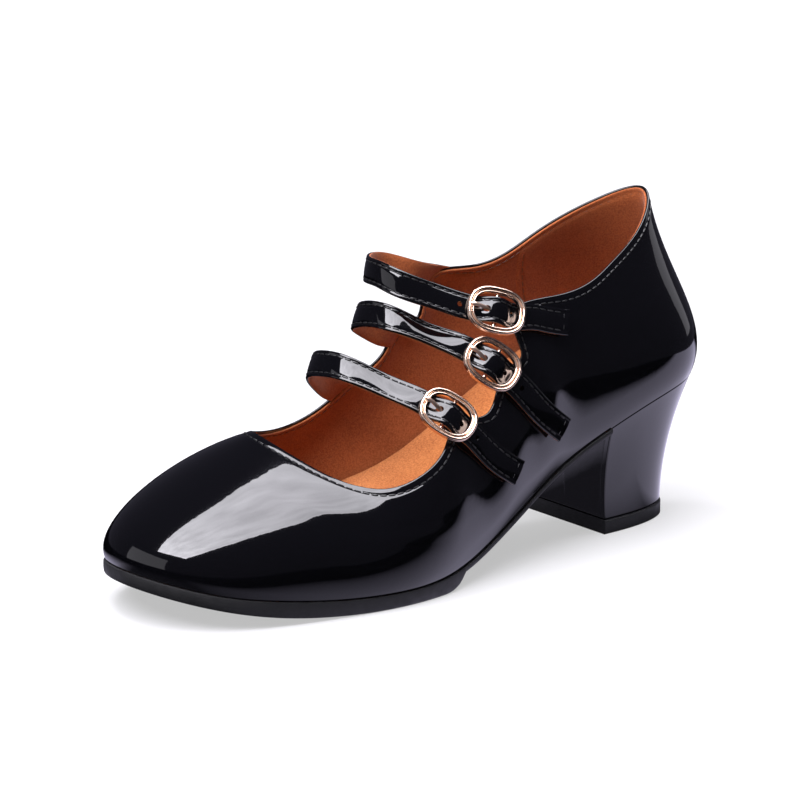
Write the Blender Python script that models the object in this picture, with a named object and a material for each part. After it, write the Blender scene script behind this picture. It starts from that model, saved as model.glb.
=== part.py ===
"""Ballroom dance shoe, left: patent upper with three buckled straps on a block heel.

Sizes are in millimetres and become metres when a mesh is made.
+X points to the toe, +Y to the outer side of the foot, +Z up.
"""
import math
from collections import namedtuple

import bmesh
import bpy
import numpy as np
from mathutils import Matrix

MM = 0.001
SHOE = "ballroom_dance_shoe"
UP = np.array([0.0, 0.0, 1.0])
FORWARD = np.array([1.0, 0.0, 0.0])

# Driving sizes of the last, in millimetres
LENGTH = 238.0
BALL_WIDTH = 80.0
HEEL_HEIGHT = 53.0
BACK_HEIGHT = 116.0

# Thicknesses and clearances, in millimetres
UPPER_WALL = 1.8
SHANK_THICKNESS = 2.2
TOE_SPRING = 12.0
FIT_GAP = 0.3
EDGE_INSET = 0.2

# Foot bed, thicker on the inner side under the arch, in millimetres along and up
BED_THICKNESS = 5.5
ARCH_RISE = 8.0
ARCH_START = 8.0
ARCH_FULL = 50.0
ARCH_FADE = 125.0
ARCH_END = 185.0
BED_SEARCH = 0.5
BED_STEPS = 41

# Heel and its lift, in millimetres
LIFT_HEIGHT = 5.2
LIFT_LIP = 0.3
BREAST_BOTTOM = 52.0
BREAST_TOP = 55.5
HEEL_FOOT_HALF = 20.5
HEEL_FOOT_BACK = 14.5
HEEL_ROUNDNESS = 2.6
HEEL_FLARE = 1.85

# Straps, buckles and elastics, in millimetres
STRAP_WIDTH = 9.0
STRAP_THICKNESS = 1.5
TAIL_GAP = 1.0
ROOT_GAP = 1.9
FRAME_GAP = 0.5
ELASTIC_GAP = 1.2
TAIL_KICK = 0.9
FRAME_HALF_LENGTH = 9.1
FRAME_HALF_WIDTH = 6.9
FRAME_ROUNDNESS = 2.6
FRAME_WIRE = 1.15
BAR_WIRE = 0.8
BAR_DROP = 1.0
PRONG_WIRE = 0.6
HOLE_PLACE = -3.2
HOLE_RADIUS = 1.8
HOLE_REACH = 4.0
WEAVE_REACH = 7.5
ELASTIC_WIDTH = 7.6
ELASTIC_THICKNESS = 1.0

# Where the sole changes, as shares of the length
SHANK_END = 0.545
TREAD_START = 0.585
SPRING_START = 0.70

# Mesh fineness
STEPS_PER_RIB = 5
RISE_STEPS = 8
HEEL_LEVELS = 8
HEEL_POINTS = 16
STRAP_STEP = 2.5
ELASTIC_STATIONS = 10
FRAME_POINTS = 28
LOOKUP_POINTS = 400
SHARP_DEGREES = 40.0

# Height of the foot bed along the shoe: share of LENGTH, share of HEEL_HEIGHT
Seat = namedtuple("Seat", "along height")
SEATS = [
    Seat(0.000, 1.000),
    Seat(0.110, 0.945),
    Seat(0.220, 0.800),
    Seat(0.330, 0.575),
    Seat(0.430, 0.330),
    Seat(0.545, 0.145),
    Seat(0.585, 0.117),
    Seat(0.680, 0.104),
    Seat(0.760, 0.120),
    Seat(0.850, 0.170),
    Seat(0.930, 0.235),
    Seat(1.000, 0.325),
]

# The upper as ribs from the sole to the topline, once around from the back seam by the outer side.
# foot and top are shares of LENGTH, half BALL_WIDTH and BACK_HEIGHT; wall and lip handles are millimetres.
Rib = namedtuple("Rib", "name foot_along foot_across wall_out wall_up"
                        " top_along top_across top_height lip_out lip_down lip_back")
RIBS = [
    Rib("back", 0.012, 0.00, 8, 20, 0.072, 0.00, 1.000, 5, 26, 0),
    Rib("back_outer", 0.056, 0.53, 8, 18, 0.118, 0.28, 0.915, 7, 22, 0),
    Rib("heel_outer", 0.160, 0.70, 7, 16, 0.215, 0.50, 0.830, 6, 18, 0),
    Rib("quarter_outer", 0.240, 0.69, 6, 15, 0.320, 0.575, 0.780, 6, 14, 6),
    Rib("finger_top", 0.290, 0.67, 7, 15, 0.402, 0.54, 0.757, 8, 6, 16),
    Rib("notch_top", 0.340, 0.67, 7, 14, 0.408, 0.70, 0.645, 7, 9, 10),
    Rib("finger_middle", 0.395, 0.71, 7, 13, 0.436, 0.66, 0.590, 8, 8, 9),
    Rib("notch_front", 0.450, 0.77, 7, 12, 0.474, 0.755, 0.495, 7, 9, 7),
    Rib("finger_front", 0.510, 0.86, 6, 11, 0.524, 0.705, 0.478, 7, 8, 6),
    Rib("throat_outer", 0.575, 0.955, 5, 10, 0.572, 0.85, 0.415, 7, 9, 3),
    Rib("ball_outer", 0.650, 0.995, 5, 10, 0.632, 0.87, 0.352, 7, 8, 0),
    Rib("toe_outer", 0.770, 0.89, 5, 11, 0.690, 0.66, 0.340, 12, 8, 0),
    Rib("corner_outer", 0.938, 0.50, 5, 12, 0.740, 0.24, 0.400, 26, 9, 0),
    Rib("tip", 0.995, -0.23, 5, 13, 0.762, -0.22, 0.455, 32, 9, 0),
    Rib("corner_inner", 0.948, -0.84, 5, 12, 0.735, -0.52, 0.435, 26, 8, 0),
    Rib("toe_inner", 0.830, -1.03, 5, 11, 0.680, -0.74, 0.400, 16, 8, 0),
    Rib("ball_inner", 0.710, -1.02, 5, 11, 0.620, -0.84, 0.395, 9, 10, 0),
    Rib("throat_inner", 0.600, -0.92, 5, 12, 0.556, -0.85, 0.440, 8, 10, 3),
    Rib("root_front", 0.530, -0.81, 6, 13, 0.512, -0.81, 0.500, 8, 9, 6),
    Rib("hollow_front", 0.465, -0.71, 6, 14, 0.466, -0.80, 0.550, 7, 10, 8),
    Rib("root_middle", 0.400, -0.64, 7, 15, 0.436, -0.76, 0.630, 8, 9, 9),
    Rib("hollow_top", 0.345, -0.61, 7, 15, 0.400, -0.75, 0.663, 8, 10, 10),
    Rib("root_top", 0.290, -0.62, 7, 15, 0.385, -0.70, 0.785, 8, 6, 16),
    Rib("quarter_inner", 0.240, -0.65, 6, 15, 0.310, -0.66, 0.790, 7, 14, 6),
    Rib("heel_inner", 0.160, -0.68, 7, 16, 0.210, -0.58, 0.857, 6, 18, 0),
    Rib("back_inner", 0.056, -0.53, 8, 18, 0.118, -0.36, 0.955, 7, 22, 0),
]
RIB_COUNT = len(RIBS)
TIP_RIB = RIB_COUNT // 2

# Straps from the inner side to the free end: root, tail and finger are (rib, rise) places on the upper.
# over is the run across the instep and buckle the buckle's place: millimetres, and how far the strap's
# face looks up, in degrees.
Turn = namedtuple("Turn", "x y z tilt")
Strap = namedtuple("Strap", "name root over buckle tail finger")
STRAPS = [
    Strap("top",
          root=[(22.4, 0.87), (22.1, 0.92)],
          over=[Turn(103.0, -23.6, 93.7, 8),
                Turn(114.0, -25.6, 97.6, 3),
                Turn(129.6, -15.0, 100.5, 8),
                Turn(132.0, -6.0, 101.0, 10),
                Turn(130.3, 3.0, 99.0, 20),
                Turn(121.0, 11.0, 94.7, 34)],
          buckle=Turn(103.9, 21.2, 88.6, 29),
          tail=[(4.03, 0.90), (3.74, 0.815), (3.34, 0.785)],
          finger=(3.95, 0.86)),
    Strap("middle",
          root=[(20.3, 0.80), (20.0, 0.90)],
          over=[Turn(112.0, -27.3, 72.6, 12),
                Turn(121.0, -26.0, 77.2, 12),
                Turn(133.2, -16.0, 84.9, 14),
                Turn(134.5, -8.0, 87.2, 16),
                Turn(133.3, 1.0, 87.3, 36),
                Turn(122.0, 12.0, 81.2, 56)],
          buckle=Turn(109.1, 25.4, 71.9, 36),
          tail=[(5.84, 0.66), (5.50, 0.53), (5.12, 0.39)],
          finger=(6.0, 0.86)),
    Strap("front",
          root=[(17.9, 0.84), (17.5, 0.98)],
          over=[Turn(140.0, -27.5, 60.4, 8),
                Turn(151.9, -17.0, 70.6, 18),
                Turn(153.2, -9.0, 72.7, 22),
                Turn(152.3, -1.0, 73.0, 36),
                Turn(143.0, 12.0, 67.4, 55)],
          buckle=Turn(130.4, 28.0, 58.0, 47),
          tail=[(7.88, 0.75), (7.50, 0.62), (7.08, 0.495)],
          finger=(8.15, 0.86)),
]

# Edge of the outsole from its tread up: share of the thickness, lip beyond the upper in millimetres
SoleEdge = namedtuple("SoleEdge", "share lip")
SOLE_EDGES = [
    SoleEdge(0.00, -0.3),
    SoleEdge(0.35, 0.6),
    SoleEdge(1.00, 0.6),
]

# Prong from the centre bar to its tip: along and out of the buckle, in millimetres
Prong = namedtuple("Prong", "name along out")
PRONG = [
    Prong("root", -1.7, -1.3),
    Prong("hole", HOLE_PLACE, -0.2),
    Prong("rise", -5.1, 1.1),
    Prong("rest", -7.4, 2.0),
    Prong("tip", -10.0, 2.1),
]

# Colour, roughness, metallic
PATENT = ((0.006, 0.006, 0.007), 0.08, 0.0)
RUBBER = ((0.012, 0.012, 0.013), 0.62, 0.0)
SUEDE = ((0.42, 0.15, 0.045), 0.90, 0.0)
ROSE_GOLD = ((0.86, 0.58, 0.42), 0.16, 1.0)
ELASTIC = ((0.010, 0.010, 0.011), 0.80, 0.0)


# Splines

def second_derivatives(knots, values, closed):
    """Second derivatives of the cubic spline through the values, natural or closed."""
    count = len(values)
    step = np.diff(knots)
    matrix = np.zeros((count, count))
    bend = np.zeros(values.shape)
    for i in range(count):
        before, after = i - 1, (i + 1) % count
        if not closed and i in (0, count - 1):
            matrix[i, i] = 1.0
            continue
        matrix[i, before] += step[before]
        matrix[i, i] += 2.0 * (step[before] + step[i])
        matrix[i, after] += step[i]
        bend[i] = 6.0 * ((values[after] - values[i]) / step[i] - (values[i] - values[before]) / step[before])
    return np.linalg.solve(matrix, bend)


def spline(knots, values, at, closed=False):
    """Cubic spline of a table with one row per knot; a closed one has an extra last knot."""
    curve = second_derivatives(knots, values, closed)
    if closed:
        values = np.vstack([values, values[:1]])
        curve = np.vstack([curve, curve[:1]])
        at = np.mod(at, knots[-1])
    i = np.clip(np.searchsorted(knots, at, side="right") - 1, 0, len(knots) - 2)
    step = (knots[i + 1] - knots[i])[:, None]
    left = (knots[i + 1] - at)[:, None]
    right = (at - knots[i])[:, None]
    cubic = (curve[i] * left ** 3 + curve[i + 1] * right ** 3) / (6.0 * step)
    linear = (values[i] / step - curve[i] * step / 6.0) * left
    return cubic + linear + (values[i + 1] / step - curve[i + 1] * step / 6.0) * right


def unit(vectors):
    """Vectors at length one."""
    return vectors / np.linalg.norm(vectors, axis=-1, keepdims=True)


# Foot bed and sole heights

SEAT_ALONG = np.array([row.along * LENGTH for row in SEATS])
SEAT_HEIGHT = np.array([[row.height * HEEL_HEIGHT] for row in SEATS])


def seat_height(x):
    """Height of the foot bed, where the upper meets the sole."""
    x = np.clip(np.asarray(x, float), 0.0, LENGTH)
    return spline(SEAT_ALONG, SEAT_HEIGHT, x.ravel())[:, 0].reshape(x.shape)


def tread_height(x):
    """Height of the sole's underside: thin shank, flat tread, then the toe spring."""
    along = np.asarray(x, float) / LENGTH
    shank = seat_height(x) - FIT_GAP - SHANK_THICKNESS
    step = np.clip((along - SHANK_END) / (TREAD_START - SHANK_END), 0.0, 1.0)
    drop = np.sqrt(1.0 - (1.0 - step) ** 2)
    spring = np.clip((along - SPRING_START) / (1.0 - SPRING_START), 0.0, None)
    return shank * (1.0 - drop) + TOE_SPRING * spring ** 2


# Surface of the upper

RIB_TABLE = np.array([row[1:] for row in RIBS])
RIB_TABLE = RIB_TABLE * np.array([LENGTH, BALL_WIDTH / 2, 1, 1, LENGTH, BALL_WIDTH / 2, BACK_HEIGHT, 1, 1, 1])
RIB_STEPS = np.linalg.norm(np.roll(RIB_TABLE[:, :2], -1, axis=0) - RIB_TABLE[:, :2], axis=1)
RIB_KNOTS = np.concatenate([[0.0], np.cumsum(RIB_STEPS)])


def rib_columns(ribs):
    """The rib table read at rib numbers that may fall between two rows."""
    ribs = np.mod(np.asarray(ribs, float), RIB_COUNT)
    return spline(RIB_KNOTS, RIB_TABLE, np.interp(ribs, np.arange(RIB_COUNT + 1), RIB_KNOTS), closed=True)


def outline_normal(ribs):
    """Outward direction of the sole line, seen from above."""
    nudge = 0.02
    ahead = rib_columns(np.asarray(ribs) + nudge)[:, :2] - rib_columns(np.asarray(ribs) - nudge)[:, :2]
    ahead = unit(ahead)
    return np.column_stack([-ahead[:, 1], ahead[:, 0], np.zeros(len(ahead))])


def outline(ribs, offset=0.0):
    """Points of the sole line, moved outward by offset, at the foot bed's height."""
    table = rib_columns(ribs)
    points = np.column_stack([table[:, :2], seat_height(table[:, 0])])
    return points + outline_normal(ribs) * offset


def upper_grid(ribs, rises):
    """Outer surface of the upper: one row of points per rib number, one column per rise."""
    table = rib_columns(ribs)
    out = outline_normal(ribs)
    foot = outline(ribs)
    top = table[:, 4:7]
    wall = foot + table[:, 2:3] * out + table[:, 3:4] * UP
    lip = top + table[:, 7:8] * out - table[:, 8:9] * UP - table[:, 9:10] * FORWARD
    t = np.asarray(rises, float)[None, :, None]
    foot, wall, lip, top = (corner[:, None, :] for corner in (foot, wall, lip, top))
    return (1 - t) ** 3 * foot + 3 * t * (1 - t) ** 2 * wall + 3 * t ** 2 * (1 - t) * lip + t ** 3 * top


def upper_normals(ribs, rises):
    """Outward directions of the upper's outer surface."""
    nudge = 0.01
    ribs = np.asarray(ribs, float)
    rises = np.asarray(rises, float)
    around = upper_grid(ribs + nudge, rises) - upper_grid(ribs - nudge, rises)
    upward = upper_grid(ribs, rises + nudge) - upper_grid(ribs, rises - nudge)
    return unit(np.cross(upward, around))


def upper_place(rib, rise):
    """One point of the upper's outer surface and its outward direction."""
    return upper_grid([rib], [rise])[0, 0], upper_normals([rib], [rise])[0, 0]


# Objects

def clear_scene():
    for thing in list(bpy.data.objects):
        bpy.data.objects.remove(thing, do_unlink=True)


def collection(name):
    made = bpy.data.collections.new(name)
    bpy.context.scene.collection.children.link(made)
    return made


def material(name, look):
    colour, roughness, metallic = look
    made = bpy.data.materials.new(name)
    made.use_nodes = True
    shader = made.node_tree.nodes["Principled BSDF"]
    shader.inputs["Base Color"].default_value = (*colour, 1.0)
    shader.inputs["Roughness"].default_value = roughness
    shader.inputs["Metallic"].default_value = metallic
    return made


def add_object(name, mesh, look):
    mesh.materials.clear()
    mesh.materials.append(material(name, look))
    mesh.shade_smooth()
    mesh.set_sharp_from_angle(angle=math.radians(SHARP_DEGREES))
    made = bpy.data.objects.new(name, mesh)
    PARTS.objects.link(made)
    made.parent = ROOT
    return made


def closed_mesh(name, points, faces):
    """A mesh in metres with doubled points joined and its faces pointing out."""
    shape = bmesh.new()
    corners = [shape.verts.new(point) for point in np.asarray(points) * MM]
    for face in faces:
        shape.faces.new([corners[i] for i in face])
    bmesh.ops.remove_doubles(shape, verts=shape.verts, dist=1e-7)
    bmesh.ops.recalc_face_normals(shape, faces=shape.faces)
    mesh = bpy.data.meshes.new(name)
    shape.to_mesh(mesh)
    shape.free()
    return mesh


def ladder_solid(name, levels, look):
    """A solid between levels, bottom to top, each a left and a right row of points."""
    count = len(levels[0][0])
    rows = 2 * count
    points = np.vstack([np.vstack(level) for level in levels])
    faces = []
    for k in range(len(levels) - 1):
        low, high = k * rows, (k + 1) * rows
        for i in range(count - 1):
            faces.append((low + i, low + i + 1, high + i + 1, high + i))
            faces.append((low + count + i, high + count + i, high + count + i + 1, low + count + i + 1))
        for end in (0, count - 1):
            left, right = levels[k][0][end], levels[k][1][end]
            if np.linalg.norm(left - right) > FIT_GAP:
                faces.append((low + end, low + count + end, high + count + end, high + end))
    for base in (0, (len(levels) - 1) * rows):
        for i in range(count - 1):
            faces.append((base + i, base + i + 1, base + count + i + 1, base + count + i))
    return add_object(name, closed_mesh(name, points, faces), look)


def ribbon_mesh(name, centres, normals, width, thickness):
    """A flat band along a path, with its face turned to the normals."""
    ahead = unit(np.gradient(centres, axis=0))
    face = unit(normals - ahead * np.sum(normals * ahead, axis=1, keepdims=True))
    side = np.cross(ahead, face)
    signs = [(-1, -1), (1, -1), (1, 1), (-1, 1)]
    corners = [centres + side * (a * width / 2) + face * (b * thickness / 2) for a, b in signs]
    points = np.stack(corners, axis=1).reshape(-1, 3)
    last = len(centres) - 1
    faces = [(0, 1, 2, 3), tuple(4 * last + k for k in (3, 2, 1, 0))]
    for i in range(last):
        for k in range(4):
            following = (k + 1) % 4
            faces.append((4 * i + k, 4 * i + following, 4 * i + 4 + following, 4 * i + 4 + k))
    return closed_mesh(name, points, faces)


def tube_mesh(name, points, radius, closed, resolution):
    """A round wire along points, as a closed mesh in metres."""
    curve = bpy.data.curves.new(name, "CURVE")
    curve.dimensions = "3D"
    curve.bevel_depth = radius * MM
    curve.bevel_resolution = resolution
    curve.use_fill_caps = True
    line = curve.splines.new("POLY")
    line.points.add(len(points) - 1)
    line.use_cyclic_u = closed
    for place, point in zip(line.points, np.asarray(points) * MM):
        place.co = (*point, 1.0)
    guide = bpy.data.objects.new(name + "_wire", curve)
    CUTTERS.objects.link(guide)
    shape = bmesh.new()
    solid = guide.evaluated_get(bpy.context.evaluated_depsgraph_get())
    shape.from_mesh(bpy.data.meshes.new_from_object(solid))
    bpy.data.objects.remove(guide, do_unlink=True)
    bmesh.ops.remove_doubles(shape, verts=shape.verts, dist=1e-6)
    bmesh.ops.recalc_face_normals(shape, faces=shape.faces)
    mesh = bpy.data.meshes.new(name)
    shape.to_mesh(mesh)
    shape.free()
    return mesh


def add_helper(name, mesh):
    """A cutter or a filler that only shapes another object."""
    made = bpy.data.objects.new(name, mesh)
    made.hide_render = True
    made.display_type = "WIRE"
    made.parent = ROOT
    CUTTERS.objects.link(made)
    return made


def add_boolean(target, helper, operation):
    change = target.modifiers.new(operation.lower(), "BOOLEAN")
    change.operation = operation
    change.solver = "EXACT"
    change.object = helper


# Sole, heel and foot bed

def paired_ribs(first, last):
    """Rib numbers up the outer side and their partners down the inner side."""
    count = int(round((last - first) * STEPS_PER_RIB)) + 1
    outer = np.linspace(first, last, count)
    return outer, RIB_COUNT - outer


def rib_at(x, side):
    """Rib number on the outer (+1) or inner (-1) side where the sole line passes x."""
    ribs = np.linspace(0.0, TIP_RIB, LOOKUP_POINTS)
    places = rib_columns(ribs if side > 0 else RIB_COUNT - ribs)[:, 0]
    rib = np.interp(x, places, ribs)
    return rib if side > 0 else RIB_COUNT - rib


def add_outsole():
    """Shank and tread in one, from the heel breast to the toe."""
    breast = BREAST_TOP + FIT_GAP
    count = int((TIP_RIB - rib_at(breast, 1)) * STEPS_PER_RIB)
    outer = np.linspace(rib_at(breast, 1), TIP_RIB, count)
    inner = np.linspace(rib_at(breast, -1), TIP_RIB, count)
    levels = []
    for share, lip in SOLE_EDGES:
        sides = []
        for ribs in (outer, inner):
            points = outline(ribs)
            low = tread_height(points[:, 0])
            rim = outline(ribs, lip)
            rim[0, 0] = breast
            rim[:, 2] = low + (points[:, 2] - FIT_GAP - low) * share
            sides.append(rim)
        levels.append(sides)
    return ladder_solid("outsole", levels, RUBBER)


def ease(share):
    """A smooth step from 0 to 1."""
    return 0.5 - 0.5 * np.cos(np.clip(share, 0.0, 1.0) * math.pi)


def bed_thickness(x, arch_rise):
    """Thickness of the foot bed's edge along the shoe, with a rise under the arch."""
    arch = ease((x - ARCH_START) / (ARCH_FULL - ARCH_START)) * ease((ARCH_END - x) / (ARCH_END - ARCH_FADE))
    return BED_THICKNESS + arch_rise * arch


def bed_edges(ribs, arch_rise):
    """Lower and upper edge of the foot bed on one side, clear of the upper's wall."""
    clear = UPPER_WALL + 2 * FIT_GAP
    low = outline(ribs, -clear)
    low[:, 2] = seat_height(low[:, 0])
    rises = np.linspace(0.0, BED_SEARCH, BED_STEPS)
    walls = upper_grid(ribs, rises) - upper_normals(ribs, rises) * clear
    heights = low[:, 2] + bed_thickness(low[:, 0], arch_rise)
    high = np.array([[np.interp(height, wall[:, 2], wall[:, k]) for k in range(3)]
                     for height, wall in zip(heights, walls)])
    return low, high


def add_insole():
    """Cushioned foot bed that fills the upper from wall to wall."""
    outer, inner = paired_ribs(0, TIP_RIB)
    sides = [bed_edges(outer, 0.0), bed_edges(inner, ARCH_RISE)]
    return ladder_solid("insole", list(zip(*sides)), SUEDE)


def heel_foot(lip):
    """Half outline of the heel's foot: from the flat breast to the rounded back."""
    turns = np.linspace(0.0, math.pi / 2, HEEL_POINTS)
    depth = BREAST_BOTTOM - HEEL_FOOT_BACK
    power = 2.0 / HEEL_ROUNDNESS
    x = BREAST_BOTTOM - (depth + lip) * np.sin(turns) ** power
    y = (HEEL_FOOT_HALF + lip) * np.abs(np.cos(turns)) ** power
    return x, y


def add_heel():
    """Block heel that flares from its foot to the seat of the upper."""
    outer = np.linspace(rib_at(BREAST_TOP, 1), 0.0, HEEL_POINTS)
    inner = np.linspace(rib_at(BREAST_TOP, -1), RIB_COUNT, HEEL_POINTS)
    foot_x, foot_y = heel_foot(0.0)
    levels = []
    for share in np.linspace(0.0, 1.0, HEEL_LEVELS):
        flare = share ** HEEL_FLARE
        sides = []
        for ribs, sign in ((outer, 1.0), (inner, -1.0)):
            seat = outline(ribs, -EDGE_INSET)
            x = foot_x + (seat[:, 0] - foot_x) * flare
            x[0] = BREAST_BOTTOM + (BREAST_TOP - BREAST_BOTTOM) * share
            y = sign * foot_y + (seat[:, 1] - sign * foot_y) * flare
            foot_z = LIFT_HEIGHT + FIT_GAP
            z = foot_z + (seat_height(x) - FIT_GAP - foot_z) * share
            sides.append(np.column_stack([x, y, z]))
        levels.append(sides)
    return ladder_solid("heel", levels, PATENT)


def add_heel_lift():
    """Rubber top piece that the heel stands on."""
    x, y = heel_foot(LIFT_LIP)
    levels = []
    for z in (0.0, LIFT_HEIGHT):
        level = [np.column_stack([x, sign * y, np.full(len(x), z)]) for sign in (1.0, -1.0)]
        levels.append(level)
    return ladder_solid("heel_lift", levels, RUBBER)


# Upper

def add_upper():
    """One hollow wall from the sole line to the topline with its notches."""
    ribs = np.arange(RIB_COUNT * STEPS_PER_RIB) / STEPS_PER_RIB
    rises = np.linspace(0.0, 1.0, RISE_STEPS + 1)
    outside = upper_grid(ribs, rises)
    inside = outside - upper_normals(ribs, rises) * UPPER_WALL
    inside[:, 0] = outline(ribs, -UPPER_WALL)
    inside[:, 0, 2] = outside[:, 0, 2]
    around, high = outside.shape[:2]
    points = np.vstack([outside.reshape(-1, 3), inside.reshape(-1, 3)])
    shell = around * high
    faces = []
    for i in range(around):
        here, there = i * high, ((i + 1) % around) * high
        for j in range(high - 1):
            quad = (here + j, here + j + 1, there + j + 1, there + j)
            faces.append(quad)
            faces.append(tuple(shell + k for k in reversed(quad)))
        for j in (0, high - 1):
            faces.append((here + j, there + j, shell + there + j, shell + here + j))
    return add_object("upper", closed_mesh("upper", points, faces), PATENT)


# Straps and buckles

def upper_side(places, offset):
    """Points at an offset from the upper's outer surface, and the outward directions there."""
    found = [upper_place(rib, rise) for rib, rise in places]
    points = np.array([point + out * offset for point, out in found])
    return points, np.array([out for point, out in found])


def strap_path(strap):
    """Centres and normals of a strap, and its distance along from the buckle's centre."""
    root, root_out = upper_side(strap.root, -(UPPER_WALL + ROOT_GAP + STRAP_THICKNESS / 2))
    tail, tail_out = upper_side(strap.tail, TAIL_GAP + STRAP_THICKNESS / 2)
    tail[-1] += tail_out[-1] * TAIL_KICK
    over = np.array([turn[:3] for turn in strap.over])
    buckle = np.array(strap.buckle[:3])
    ahead = unit(unit(tail[0] - buckle) + unit(buckle - over[-1]))
    threaded = np.array([buckle + ahead * FRAME_HALF_LENGTH * side for side in (-1, 0, 1)])
    points = np.vstack([root, over, threaded, tail])
    tilts = np.radians([turn.tilt for turn in strap.over] + [strap.buckle.tilt] * len(threaded))[:, None]
    headings = np.gradient(points, axis=0)[len(root):-len(tail)]
    headings[-len(threaded):] = ahead
    level = unit(np.cross(headings, UP))
    normals = np.vstack([root_out, level * np.cos(tilts) + UP * np.sin(tilts), tail_out])
    middle = len(root) + len(over) + 1
    knots = np.concatenate([[0.0], np.cumsum(np.linalg.norm(np.diff(points, axis=0), axis=1))])
    before = np.linspace(0.0, knots[middle], math.ceil(knots[middle] / STRAP_STEP) + 1)
    after = np.linspace(knots[middle], knots[-1], math.ceil((knots[-1] - knots[middle]) / STRAP_STEP) + 1)
    at = np.concatenate([before, after[1:]])
    centres = spline(knots, points, at)
    ahead = unit(np.gradient(centres, axis=0))
    faces = spline(knots, normals, at)
    faces = unit(faces - ahead * np.sum(faces * ahead, axis=1, keepdims=True))
    return centres, faces, at - knots[middle]


def weave(distance):
    """How far the strap lifts to pass over the buckle's centre bar."""
    under_frame = FRAME_WIRE + FRAME_GAP + STRAP_THICKNESS / 2
    over_bar = BAR_WIRE - BAR_DROP + FIT_GAP + STRAP_THICKNESS / 2
    turn = np.clip(np.abs(distance) / WEAVE_REACH, 0.0, 1.0) * math.pi / 2
    return (over_bar + under_frame) * np.cos(turn) ** 2


def buckle_axes(centres, faces, distance):
    """Middle of the buckle frame and its directions: along, across and out."""
    k = int(np.argmin(np.abs(distance)))
    ahead = unit(centres[k + 1] - centres[k - 1])
    out = unit(faces[k] - ahead * np.dot(faces[k], ahead))
    middle = centres[k] + out * (FRAME_WIRE + FRAME_GAP + STRAP_THICKNESS / 2)
    return middle, ahead, np.cross(out, ahead), out


def local_points(axes, places):
    """Places given as along, across and out of a buckle, in the shoe's own axes."""
    middle, ahead, across, out = axes
    return np.array([middle + a * ahead + b * across + c * out for a, b, c in places])


def add_strap(strap, centres, faces, distance, axes):
    path = centres + faces * weave(distance)[:, None]
    mesh = ribbon_mesh("strap_" + strap.name, path, faces, STRAP_WIDTH, STRAP_THICKNESS)
    made = add_object("strap_" + strap.name, mesh, PATENT)
    ends = local_points(axes, [(HOLE_PLACE, 0, -HOLE_REACH), (HOLE_PLACE, 0, HOLE_REACH)])
    hole = add_helper("hole_" + strap.name, tube_mesh("hole_" + strap.name, ends, HOLE_RADIUS, False, 2))
    add_boolean(made, hole, "DIFFERENCE")


def add_buckle_frame(strap, axes):
    """Oval frame with a centre bar."""
    power = 2.0 / FRAME_ROUNDNESS
    ring = []
    for turn in np.arange(FRAME_POINTS) * 2.0 * math.pi / FRAME_POINTS:
        cosine, sine = math.cos(turn), math.sin(turn)
        along = math.copysign(abs(cosine) ** power, cosine) * FRAME_HALF_LENGTH
        across = math.copysign(abs(sine) ** power, sine) * FRAME_HALF_WIDTH
        ring.append((along, across, 0.0))
    name = "buckle_frame_" + strap.name
    frame = add_object(name, tube_mesh(name, local_points(axes, ring), FRAME_WIRE, True, 2), ROSE_GOLD)
    ends = [(0, -FRAME_HALF_WIDTH, -BAR_DROP), (0, FRAME_HALF_WIDTH, -BAR_DROP)]
    bar_name = "bar_" + strap.name
    bar = add_helper(bar_name, tube_mesh(bar_name, local_points(axes, ends), BAR_WIRE, False, 2))
    add_boolean(frame, bar, "UNION")


def add_buckle_prong(strap, axes):
    """Prong from the centre bar through the strap's hole to the front of the frame."""
    places = [(place.along, 0.0, place.out) for place in PRONG]
    name = "buckle_prong_" + strap.name
    add_object(name, tube_mesh(name, local_points(axes, places), PRONG_WIRE, False, 1), ROSE_GOLD)


def add_elastic(strap, axes):
    """Elastic tab from inside the quarter's finger to the centre bar."""
    inside = UPPER_WALL + ELASTIC_GAP + ELASTIC_THICKNESS / 2
    rib, rise = strap.finger
    low, low_out = upper_place(rib, rise)
    edge, edge_out = upper_place(rib, 1.0)
    middle, ahead, across, out = axes
    bar = middle - out * (BAR_DROP + BAR_WIRE + FIT_GAP + ELASTIC_THICKNESS / 2) - ahead * BAR_WIRE
    points = np.array([low - low_out * inside, edge - edge_out * inside, bar])
    normals = unit(np.array([low_out, edge_out, out]))
    steps = np.linalg.norm(np.diff(points, axis=0), axis=1)
    knots = np.concatenate([[0.0], np.cumsum(steps)])
    at = np.linspace(0.0, knots[-1], ELASTIC_STATIONS)
    centres = spline(knots, points, at)
    name = "buckle_elastic_" + strap.name
    mesh = ribbon_mesh(name, centres, spline(knots, normals, at), ELASTIC_WIDTH, ELASTIC_THICKNESS)
    add_object(name, mesh, ELASTIC)


def add_fastening(strap):
    centres, faces, distance = strap_path(strap)
    axes = buckle_axes(centres, faces, distance)
    add_strap(strap, centres, faces, distance, axes)
    add_buckle_frame(strap, axes)
    add_buckle_prong(strap, axes)
    add_elastic(strap, axes)


def stand_at_origin():
    """Put the middle of the shoe's box over the origin, with its lowest point on the floor."""
    bpy.context.view_layer.update()
    corners = np.array([part.matrix_world @ spot.co for part in PARTS.objects if part.type == "MESH"
                        for spot in part.data.vertices])
    low, high = corners.min(axis=0), corners.max(axis=0)
    ROOT.matrix_world = Matrix.Translation((-(low[0] + high[0]) / 2, -(low[1] + high[1]) / 2, -low[2]))


clear_scene()
PARTS = collection(SHOE)
CUTTERS = collection(SHOE + "_cutters")
ROOT = bpy.data.objects.new(SHOE, None)
PARTS.objects.link(ROOT)
add_outsole()
add_heel()
add_heel_lift()
add_upper()
add_insole()
for one_strap in STRAPS:
    add_fastening(one_strap)
stand_at_origin()
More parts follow.
